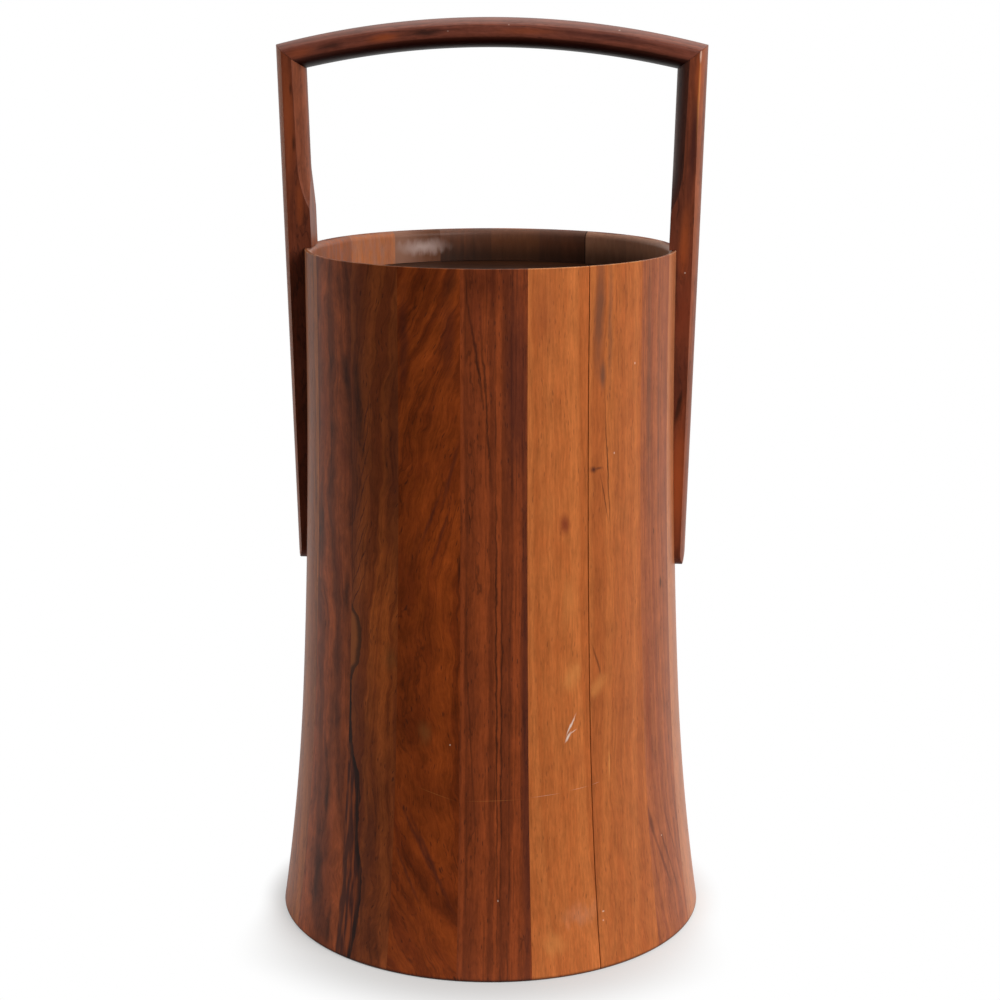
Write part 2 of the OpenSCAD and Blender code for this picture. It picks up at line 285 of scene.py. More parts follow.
def floor_finish():
    """White paper that glows for the camera: fully at a distance, less where the shadow falls."""
    material, tree, shader = new_finish("white_paper")
    shader.inputs["Roughness"].default_value = 0.9
    shader.inputs["Specular IOR Level"].default_value = 0.1
    place = add(tree, "ShaderNodeTexCoord").outputs["Object"]
    x, y, _ = split(tree, place)
    reach = (x * x + y * y).math("SQRT")
    behind = y.ramp(*BEHIND_EDGE)
    fibre = mix(tree, noise(tree, place, 3.0), *PAPER_TONES)
    feed(tree, shader.inputs["Base Color"], mix(tree, behind, DIM_FLOOR, fibre))
    glow = add(tree, "ShaderNodeEmission", Color=WHITE, Strength=1.0)
    path = add(tree, "ShaderNodeLightPath")
    mirrored = behind * path.outputs["Is Glossy Ray"] * MIRRORED_SHARE
    shadow_end = y.ramp(*SHADOW_SIDE) * SHORTER_BEHIND + SHADOW_END
    open_floor = reach.ramp(SHADOW_START, shadow_end) * (1 - GLOW_AT_FOOT) + GLOW_AT_FOOT
    share = mirrored.math("MAXIMUM", path.outputs["Is Camera Ray"]) * open_floor
    feed(tree, tree.nodes["Material Output"].inputs["Surface"], mix_shaders(tree, share, shader, glow))
    return material


def mesh_object(name, points, faces=(), edges=()):
    """A new object whose points are given in millimetres."""
    mesh = bpy.data.meshes.new(name)
    mesh.from_pydata([tuple(c * MM for c in point) for point in points], list(edges), list(faces))
    made = bpy.data.objects.new(name, mesh)
    scene.collection.objects.link(made)
    return made


half_floor = FLOOR_SIZE / 2 / MM
floor = mesh_object("paper_sweep", [
    (x * half_floor, y * half_floor, 0) for x, y in ((-1, -1), (1, -1), (1, 1), (-1, 1))],
    [(0, 1, 2, 3)])
floor.data.materials.append(floor_finish())
print("floor:", FLOOR_SIZE, "m wide")

# %% [markdown]
# Rosewood shows three things at once: broad bands of brown and orange, thin dark lines that come and
# go, and short dark pores. All follow the growth rings of the tree. A plank is a slice of the tree,
# so the group measures each point's distance from the pith, in a space where X is depth, Y runs
# across the plank and Z along it. Moving the pith turns straight grain into flames. Layers of noise
# bend the rings and cloud the colour. A row of WAVES is one layer: its size in millimetres in depth,
# across and along, how far the seed moves it, its detail and its roughness.

# %% Rosewood group
BOW_HEIGHT = 170
WAVES = {
    "slow": (90, 55, 130, 3.1, 1.0, 0.5),
    "curl": (30, 16, 24, 5.3, 2.0, 0.5),
    "cloud": (30, 7, 18, 2.3, 3.0, 0.55),
    "fade": (20, 5, 30, 1.0, 2.0, 0.5),
    "mottle": (20, 10, 13, 1.7, 3.0, 0.55),
}

ROSEWOOD, wood_in, wood_out = new_group("rosewood", "ShaderNodeTree", {
    "Plank": ("Vector", None),
    "Facing": ("Vector", None),
    "Seed": ("Float", 0.0),
    "Pith Depth": ("Float", 0.0),
    "Pith Across": ("Float", 120.0),
    "Band Width": ("Float", 6.0),
    "Wander": ("Float", 3.0),
    "Lean": ("Float", 0.0),
    "Bow": ("Float", 0.0),
    "Pale": ("Color", (0.40, 0.15, 0.06, 1)),
    "Brown": ("Color", (0.25, 0.08, 0.03, 1)),
    "Dark": ("Color", (0.06, 0.02, 0.01, 1)),
    "Streaks": ("Float", 0.6),
    "Mottle": ("Float", 0.6),
    "Flecks": ("Float", 0.5),
    "Pores": ("Float", 0.6),
    "Sheen": ("Float", 0.36),
}, {"Color": "Color", "Roughness": "Float", "Height": "Float"})


def rosewood_figure(tree, source, sink):
    """Bands, lines, threads and pores that follow the growth rings."""
    depth, across, along = split(tree, source.outputs["Plank"])
    value = reader(tree, source)
    seed = value("Seed")

    def wave(kind, side):
        deep, wide, long, shift, detail, rough = WAVES[kind]
        place = vector(tree, depth / deep + seed * shift, side / wide, along / long)
        return noise(tree, place, detail, rough) - 0.5

    rise = along - BOW_HEIGHT
    lay = across + along * value("Lean") - rise * rise * value("Bow")
    lay = lay + (wave("slow", across) * 2.0 + wave("curl", across) * 1.2) * value("Wander")
    from_side = lay - value("Pith Across")
    from_face = depth - value("Pith Depth")
    ring = (from_side * from_side + from_face * from_face).math("SQRT")
    step = ring / value("Band Width")

    cloud = wave("cloud", lay)
    rings = noise(tree, step + seed * 7.7, 2.0, 0.55) + cloud * 0.55
    bands = rings.ramp(0.30, 0.70)
    fade = wave("fade", lay).ramp(-0.10, 0.08)
    veins = noise(tree, step * 3.3 + seed * 13.7, 3.0, 0.6).ramp(0.57, 0.68)
    ink = abs(rings - 0.55).ramp(0.022, 0.004)
    lines = veins.math("MAXIMUM", ink) * fade
    mottle = wave("mottle", lay)
    threads = noise(tree, vector(tree, depth * 0.9 + seed, lay * 0.9, along / 15), 3.0, 0.6) - 0.5
    flecks = noise(tree, vector(tree, depth * 1.1, lay * 1.15 + seed, along / 3), 2.0, 0.55) - 0.5

    cells = add(tree, "ShaderNodeTexVoronoi", Scale=1.0,
                Vector=vector(tree, depth / 1.5, lay / 1.35 + seed, along / 7))
    lot, span, _ = split(tree, cells.outputs["Color"])
    pores = Signal(tree, cells.outputs["Distance"]).ramp(span * 0.12 + 0.20, span * 0.06 + 0.08)
    pores = pores * lot.ramp(0.52, 0.62) * value("Pores")

    end = abs(split(tree, source.outputs["Facing"])[2]).ramp(0.55, 0.95)
    tone = mix(tree, bands, source.outputs["Pale"], source.outputs["Brown"])
    tone = mix(tree, lines * value("Streaks"), tone, source.outputs["Dark"])
    tone = mix(tree, pores * 0.8, tone, source.outputs["Dark"])
    grain = threads * 0.8 + flecks * value("Flecks") + mottle * value("Mottle") + cloud * 0.4
    shade = (grain * (end * -0.6 + 1.0) + 1.0) * (end * -0.38 + 1.0)
    feed(tree, sink.inputs["Color"],
         mix(tree, 1.0, tone, vector(tree, shade, shade, shade), "MULTIPLY"))
    feed(tree, sink.inputs["Roughness"],
         value("Sheen") + threads * 0.10 + pores * 0.25 + end * 0.15)
    feed(tree, sink.inputs["Height"], threads * 0.3 + flecks * 0.3 - pores)


rosewood_figure(ROSEWOOD, wood_in, wood_out)
print("rosewood:", len(ROSEWOOD.nodes), "nodes")

# %% [markdown]
# Old wood also carries single marks: a dark streak, a knot, a pale flame, a scratch. All are the same
# shape, an ellipse drawn out along the grain. Noise pulls its outline about, so that no two look alike.
# One group gives its mask, so a mark needs only a place and a size.

# %% Stain group
STAIN, stain_in, stain_out = new_group("stain", "ShaderNodeTree", {
    "Plank": ("Vector", None),
    "Across": ("Float", 0.0),
    "Height": ("Float", 0.0),
    "Half Width": ("Float", 1.0),
    "Half Length": ("Float", 10.0),
    "Lean": ("Float", 0.0),
    "Ragged": ("Float", 0.5),
    "Soft": ("Float", 1.0),
}, {"Mask": "Float"})


def stain_shape(tree, source, sink):
    """An ellipse along the grain, with a ragged and more or less soft edge."""
    depth, across, along = split(tree, source.outputs["Plank"])
    value = reader(tree, source)
    rise = along - value("Height")
    place = vector(tree, depth / 20 + value("Height"), across / 4.5, along / 11)
    edge = noise(tree, place, 3.0, 0.6) - 0.5
    pull = edge * value("Ragged")
    side = (across - value("Across") - rise * value("Lean") + pull) / value("Half Width")
    share = rise / value("Half Length") + pull * 0.15
    out = (side * side + share * share).math("SQRT")
    feed(tree, sink.inputs["Mask"], out.ramp(1.0, value("Soft") * -1.0 + 1.0))


stain_shape(STAIN, stain_in, stain_out)
print("stain:", len(STAIN.nodes), "nodes")

# %% [markdown]
# Each plank has its own colours and its own place in the tree, so each gets a material of its own
# that uses the groups. A Mapping node turns the object's coordinates into the plank's, in millimetres.
# The pores and threads also go to a Bump node, because light catches on them. Arrises that hands and
# cloths have rubbed are paler, and that paler tint also paints a highlight on them: the pieces mark
# them with an attribute.

# %% Wood finish
MARK = ("Across", "Height", "Half Width", "Half Length", "Lean", "Ragged", "Soft")
# Rubbed arrises are paler: partly wear, partly a painted highlight.
RUBBED_HIGHLIGHT = (1.3, 1.8, 2.5)
GRAIN_DEPTH = 0.06 * MM


def in_millimetres(tree, turn=(0, 0, 0)):
    """The place on the object in millimetres, turned."""
    place = add(tree, "ShaderNodeTexCoord").outputs["Object"]
    return add(tree, "ShaderNodeMapping", {"vector_type": "POINT"}, Vector=place, Rotation=turn,
               Scale=(1 / MM,) * 3).outputs[0]


def looking(tree):
    """The way that the surface faces."""
    return add(tree, "ShaderNodeTexCoord").outputs["Normal"]


def paint(tree, plank, colour, marks, within=None, mode="MIX"):
    """Lays marks on a colour. A mark is a tone, its strength and the numbers of MARK."""
    for tone, strength, *numbers in marks:
        spot = add(tree, "ShaderNodeGroup", {"node_tree": STAIN}, Plank=plank)
        feed_row(tree, [spot.inputs[label] for label in MARK], numbers)
        mask = Signal(tree, spot.outputs["Mask"]) * strength
        colour = mix(tree, mask * within if within else mask, colour, tone, mode)
    return colour


def wood_finish(name, turn, tones, marks=(), patina_and_light=None, gloss=0.14, **figure):
    """Oiled rosewood. turn brings the plank's length to Z; tones are pale, brown and dark.

    A recolouring function may change the colour before the marks go on: patina, painted light or
    painted shade; figure sets inputs of the rosewood group.
    """
    material, tree, shader = new_finish(name)
    shader.inputs["Specular IOR Level"].default_value = gloss
    plank = in_millimetres(tree, turn)
    facing = add(tree, "ShaderNodeMapping", {"vector_type": "POINT"}, Vector=looking(tree),
                 Rotation=turn)
    wood = add(tree, "ShaderNodeGroup", {"node_tree": ROSEWOOD}, Plank=plank, Facing=facing.outputs[0])
    feed_row(tree, [wood.inputs[label] for label in ("Pale", "Brown", "Dark")], tones)
    for label, amount in figure.items():
        wood.inputs[label.replace("_", " ").title()].default_value = amount
    colour = wood.outputs["Color"]
    if patina_and_light:
        colour = patina_and_light(tree, plank, colour)
    colour = paint(tree, plank, colour, marks)
    rubbed_highlight = add(tree, "ShaderNodeAttribute", {"attribute_name": "rubbed_highlight"}).outputs["Fac"]
    bump = add(tree, "ShaderNodeBump", Strength=0.35, Distance=GRAIN_DEPTH,
               Height=wood.outputs["Height"])
    # Rubbed arrises: paler, partly wear and partly a painted highlight.
    feed(tree, shader.inputs["Base Color"], mix(tree, rubbed_highlight, colour, RUBBED_HIGHLIGHT, "MULTIPLY"))
    feed(tree, shader.inputs["Roughness"], wood.outputs["Roughness"])
    feed(tree, shader.inputs["Normal"], bump.outputs[0])
    return material


print("wood finish: ready, with", len(MARK), "numbers to a mark")

# %% [markdown]
# A stave and the arch of the handle are the same idea: a moulding with a fixed section, bent round an
# axis and cut off at both ends. So one Geometry Nodes tree makes them all. It runs the section along a
# straight line, which makes a bar with closed ends, then bends the bar. The angle of a cut may differ
# between the inside and the outside of the bend, which gives the arch its mitres.

# %% Bent moulding tree
MOULDING, bend_in, bend_out = new_group("bent_moulding", "GeometryNodeTree", {
    "Section": ("Geometry", None),
    "First Inside": ("Float", 0.0),
    "First Outside": ("Float", 0.0),
    "Last Inside": ("Float", 1.0),
    "Last Outside": ("Float", 1.0),
    "Inside Radius": ("Float", 0.1),
    "Outside Radius": ("Float", 0.2),
    "Steps": ("Int", 12),
    "Turn": ("Vector", None),
    "Centre": ("Vector", None),
    "Finish": ("Material", None),
}, {"Geometry": "Geometry"})


def bend_moulding(tree, source, sink):
    """A bar along Z whose length becomes the angle round the axis."""
    value = reader(tree, source)
    profile = add(tree, "GeometryNodeMeshToCurve", Mesh=source.outputs["Section"])
    line = add(tree, "GeometryNodeCurvePrimitiveLine", End=(0, 0, 1))
    path = add(tree, "GeometryNodeResampleCurve", Curve=line.outputs[0], Count=source.outputs["Steps"])
    bar = add(tree, "GeometryNodeCurveToMesh", Curve=path.outputs[0], Fill_Caps=True,
              Profile_Curve=profile.outputs[0])
    radius, height, share = split(tree, add(tree, "GeometryNodeInputPosition").outputs[0])
    outward = (radius - value("Inside Radius")) / (value("Outside Radius") - value("Inside Radius"))
    first = value("First Inside") + (value("First Outside") - value("First Inside")) * outward
    last = value("Last Inside") + (value("Last Outside") - value("Last Inside")) * outward
    angle = first + (last - first) * share
    bent = vector(tree, radius * angle.math("COSINE"), radius * angle.math("SINE"), height)
    ring = add(tree, "GeometryNodeSetPosition", Geometry=bar.outputs[0], Position=bent)
    outside = add(tree, "GeometryNodeFlipFaces", Mesh=ring.outputs[0])
    placed = add(tree, "GeometryNodeTransform", Geometry=outside.outputs[0],
                 Translation=source.outputs["Centre"], Rotation=source.outputs["Turn"])
    real = add(tree, "GeometryNodeRealizeInstances", Geometry=placed.outputs[0])
    dressed = add(tree, "GeometryNodeSetMaterial", Geometry=real.outputs[0],
                  Material=source.outputs["Finish"])
    feed(tree, sink.inputs["Geometry"], dressed.outputs[0])


bend_moulding(MOULDING, bend_in, bend_out)


def run_tree(piece, tree, **values):
    """Gives a piece a Geometry Nodes modifier with these inputs."""
    modifier = piece.modifiers.new(tree.name, "NODES")
    modifier.node_group = tree
    sockets = {item.name: item.identifier for item in tree.interface.items_tree
               if item.in_out == "INPUT"}
    for name, value in values.items():
        modifier[sockets[name.replace("_", " ")]] = value


def settle(piece):
    """Makes what the modifiers give the piece's own plain mesh."""
    graph = bpy.context.evaluated_depsgraph_get()
    mesh = bpy.data.meshes.new_from_object(piece.evaluated_get(graph))
    piece.modifiers.clear()
    spare = piece.data
    piece.data = mesh
    bpy.data.meshes.remove(spare)
    mesh.name = piece.name


def ring_edges(points):
    """The edges that join points in a closed ring."""
    return [(i, (i + 1) % len(points)) for i in range(len(points))]


print("bent moulding:", len(MOULDING.nodes), "nodes")

# %% [markdown]
# No real edge is sharp. A Bevel modifier rounds each arris by a fraction of a millimetre, and only
# where two faces meet at a real angle. The cut ends of a piece are large faces with many corners:
# they meet a neighbour in a glued joint that was sanded flush, so they may stay sharp. Some arrises
# were sanded soft. The others are crisp and are painted paler, partly as rubbed wear and partly as a
# painted highlight: the new faces take a second material slot for a moment, so that they can be told
# apart and marked.

# %% Eased edges
SHARP = math.radians(24)
# Rubbed arrises, partly a painted highlight, are paler only above this height.
RUBBED_HIGHLIGHT_ABOVE = 20 * MM


@contextmanager
def opened(mesh):
    """Opens a mesh for edits to its points, edges and faces, and writes it back."""
    work = bmesh.new()
    work.from_mesh(mesh)
    yield work
    work.to_mesh(mesh)
    work.free()


def ease_edges(piece, width, end_width, segments=2, soft_width=0, is_soft=None):
    """Rounds the arrises of a piece. is_soft tells whether a place lies on a softly sanded one."""
    mesh = piece.data
    mesh.shade_smooth()
    mesh.set_sharp_from_angle(angle=SHARP)
    widest = max(width, soft_width)
    with opened(mesh) as work:
        weight = work.edges.layers.float.new("bevel_weight_edge")
        for edge in work.edges:
            if len(edge.link_faces) == 2 and edge.calc_face_angle() > SHARP:
                middle = (edge.verts[0].co + edge.verts[1].co) / 2
                wanted = soft_width if is_soft and is_soft(middle) else width
                if any(len(face.verts) > 4 for face in edge.link_faces):
                    wanted = end_width
                edge[weight] = wanted / widest
    bevel = piece.modifiers.new("eased", "BEVEL")
    bevel.limit_method = "WEIGHT"
    bevel.width = widest * MM
    bevel.segments = segments
    bevel.harden_normals = True
    bevel.material = 1
    mesh.materials.append(None)
    settle(piece)
    faces = piece.data.polygons
    # Crisp arrises get the paler rubbed tint, partly wear and partly a painted highlight.
    painted = [float(face.material_index == 1 and face.center.z > RUBBED_HIGHLIGHT_ABOVE
                  and not (is_soft and is_soft(face.center))) for face in faces]
    faces.foreach_set("material_index", [0] * len(faces))
    piece.data.materials.pop(index=1)
    piece.data.attributes.new("rubbed_highlight", "FLOAT", "FACE").data.foreach_set("value", painted)


def hand_over(piece, body, slot, *nodes):
    """The piece stands for these frame nodes and moves with their body."""
    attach(piece, body)
    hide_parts(*nodes)


print("eased edges: ready")

# %% [markdown]
# The body flares to its foot along two arcs that touch, hollow towards the outside, the lower one
# sharper. The curve could be drawn by eye, but a formula for the radius at a height also serves the
# arms that fit the body, and the screws. The section of a stave goes up that curve, over the lip with
# its rounded inner edge, down to the ledge that carries the lid, and down the inside past the groove
# for the bottom.

# %% Stave section
RIM = 362.5
TOP_R = 97.3
FLARE_Z = 320
FLARE_R = 3620
FOOT_FLARE_Z = 125
FOOT_FLARE_R = 1310
WALL = 12
FOOT_CHAMFER = 1
CHIME = 4
MOUTH_R = 93.2
LIP_ROUND = 3.5
LEDGE = 332.5
GROOVE = (19, 25)
GROOVE_DEEP = 5
OUTSIDE_STEPS = 40
LIP_STEPS = 8
INSIDE_STEPS = 20

FLARE_TURN = math.asin((FLARE_Z - FOOT_FLARE_Z) / FLARE_R)
FLARE_X = TOP_R + FLARE_R
FOOT_FLARE_X = FLARE_X - (FLARE_R - FOOT_FLARE_R) * math.cos(FLARE_TURN)
FOOT_TURN_Z = FLARE_Z - (FLARE_R - FOOT_FLARE_R) * math.sin(FLARE_TURN)


def body_radius(z, inset=0):
    """Outside radius of the body at a height, or that of a surface further in."""
    if z >= FLARE_Z:
        return TOP_R - inset
    if z >= FOOT_FLARE_Z - inset * math.sin(FLARE_TURN):
        return FLARE_X - math.sqrt((FLARE_R + inset) ** 2 - (FLARE_Z - z) ** 2)
    return FOOT_FLARE_X - math.sqrt((FOOT_FLARE_R + inset) ** 2 - (FOOT_TURN_Z - z) ** 2)


def arc(x, z, radius, start, end, steps):
    """Points on a circle, with angles in degrees."""
    turns = [math.radians(start + (end - start) * i / steps) for i in range(steps + 1)]
    return [(x + radius * math.cos(t), z + radius * math.sin(t)) for t in turns]


def heights(low, high, steps):
    """Heights at equal steps, with both ends."""
    return [low + (high - low) * i / steps for i in range(steps + 1)]


def stave_section():
    """Radius and height of each corner, from the foot up the outside and down the inside."""
    foot = body_radius(0)
    foot_inside = foot - WALL
    chime_z = CHIME / (1 - FOOT_TURN_Z / FOOT_FLARE_R)
    groove_r = body_radius(GROOVE[1], WALL) + GROOVE_DEEP
    outside = [(body_radius(z), z) for z in heights(FOOT_CHAMFER, FLARE_Z, OUTSIDE_STEPS)]
    lip = arc(MOUTH_R + LIP_ROUND, RIM - LIP_ROUND, LIP_ROUND, 90, 180, LIP_STEPS)
    inside = [(body_radius(z, WALL), z) for z in heights(FLARE_Z, GROOVE[1], INSIDE_STEPS)]
    return [
        (foot - FOOT_CHAMFER, 0), *outside, (TOP_R, RIM), *lip,
        (MOUTH_R, LEDGE), (TOP_R - WALL, LEDGE), *inside,
        (groove_r, GROOVE[1]), (groove_r, GROOVE[0]),
        (body_radius(GROOVE[0], WALL), GROOVE[0]),
        (body_radius(chime_z, WALL), chime_z), (foot_inside + CHIME, 0)]


SECTION = stave_section()
print("stave section:", len(SECTION), "points")

# %% [markdown]
# Now the wood of every stave. A wood is three tones, pale, brown and dark, and a figure: where the
# pith lay, how wide the bands are, how far they wander. Random woods would do for a fence, but this
# bucket is known by the order of its staves, so each is chosen. From the left, the front shows a dark
# stave, a brown one, two deep red ones of which the second is striped, two of bright orange and one of
# striped red. The staves at the back alternate between the same kinds.

# %% Stave woods
FIRST_JOINT = -79.5
STAVE_WIDTHS = (19, 19.5, 17.6, 19.1, 19.4, 19, 21.2, 18.2, 21, 18,
                19, 18.3, 17.5, 17, 18, 17.3, 20, 20.8, 20.1)
TURN = 360 / sum(STAVE_WIDTHS)

UMBER = ((0.490, 0.112, 0.034), (0.235, 0.055, 0.020), (0.030, 0.014, 0.010))
CHESTNUT = ((0.320, 0.075, 0.018), (0.195, 0.042, 0.012), (0.046, 0.012, 0.006))
RUSSET = ((0.320, 0.060, 0.010), (0.200, 0.035, 0.007), (0.046, 0.011, 0.005))
CLARET = ((0.320, 0.066, 0.018), (0.190, 0.040, 0.013), (0.030, 0.011, 0.007))
ORANGE = ((0.570, 0.168, 0.044), (0.470, 0.124, 0.031), (0.190, 0.050, 0.016))
TAN = ((0.500, 0.146, 0.038), (0.410, 0.108, 0.028), (0.170, 0.046, 0.016))
OLIVE = ((0.145, 0.060, 0.033), (0.100, 0.042, 0.023), (0.020, 0.010, 0.007))
STRIPED = ((0.400, 0.116, 0.042), (0.290, 0.080, 0.034), (0.130, 0.046, 0.028))
AUBURN = ((0.500, 0.148, 0.042), (0.360, 0.098, 0.032), (0.160, 0.050, 0.026))
BLUSH = ((0.520, 0.190, 0.080), (0.420, 0.140, 0.058), (0.190, 0.060, 0.030))

STAVE_KINDS = (AUBURN, UMBER, CHESTNUT, RUSSET, CLARET, ORANGE, TAN, STRIPED, BLUSH, RUSSET,
               TAN, CHESTNUT, CLARET, ORANGE, UMBER, STRIPED, TAN, RUSSET, CLARET)
STAVE_FIGURES = {
    1: dict(pith_across=70, band_width=7, wander=4, gloss=0.09),
    2: dict(pith_depth=72, pith_across=20, band_width=7, wander=9, streaks=0.3, pores=0.3, mottle=1.4,
            gloss=0.09),
    3: dict(pith_depth=62, pith_across=30, band_width=6, wander=9, streaks=0.3, pores=0.8, lean=-0.10,
            mottle=0.8),
    4: dict(pith_depth=74, pith_across=-8, band_width=5, wander=9, streaks=0.35, pores=0.8, bow=0.0012,
            mottle=1.0, flecks=0.6),
    5: dict(pith_depth=95, pith_across=-160, band_width=6, wander=1.6, streaks=0.4, pores=0.7),
    6: dict(pith_depth=60, pith_across=90, band_width=9, wander=2, streaks=0.08, pores=0.55,
            mottle=0.35, flecks=0.3),
    7: dict(pith_depth=70, pith_across=-50, band_width=7, wander=4, streaks=0.2, pores=0.55, mottle=0.4,
            flecks=0.3),
    8: dict(pith_depth=75, pith_across=40, band_width=5, wander=3, streaks=0.45, pores=0.5, flecks=0.35,
            gloss=0.11),
    9: dict(pith_depth=60, pith_across=90, band_width=9, wander=3, streaks=0.1, pores=0.7, mottle=0.4,
            flecks=0.3),
}
PLAIN_KINDS = (ORANGE, TAN, BLUSH)


def back_figure(number):
    """The figure of a stave that the photograph doesn't show."""
    plain = STAVE_KINDS[number - 1] in PLAIN_KINDS
    return dict(pith_depth=40 + 12 * (number % 4), pith_across=60 - 25 * (number % 6),
                band_width=5 + number % 4, wander=3 + number % 3,
                streaks=0.12 if plain else 0.3 + 0.1 * (number % 4))


print("stave woods:", len(set(STAVE_KINDS)), "kinds for", len(STAVE_KINDS), "staves")

# %% [markdown]
# The marks that make this bucket this bucket: the grey streak that runs down from the rim, a knot, pale
# flames, a long scratch and one fresh white nick. Each row is a tone, its strength, then the place
# across and up the stave, half the width and length, lean, raggedness and softness. A softness of 1 is
# left out. Whole stretches of wood are also made paler or darker. Such a wash multiplies the colour
# instead of covering it, so that the grain still shows.

# %% Stave marks
INK = (0.010, 0.007, 0.006)
RUST = (0.240, 0.046, 0.018)
PLUM = (0.050, 0.014, 0.013)
ASH = (0.130, 0.058, 0.038)
HONEY = (0.700, 0.270, 0.075)
EMBER = (0.400, 0.085, 0.022)
BLOOM = (0.360, 0.240, 0.205)
BARE = (0.860, 0.680, 0.580)
# A painted highlight: the glint on the inner wall of the mouth.
PAINTED_GLINT = (0.580, 0.430, 0.390)
SAP = (0.240, 0.085, 0.024)
AMBER = (0.480, 0.140, 0.036)
CRISP = 0.6


def chip(strength, across, height, half_width, half_length):
    """A tiny pale chip."""
    return BARE, strength, across, height, half_width, half_length, 0, 0, CRISP


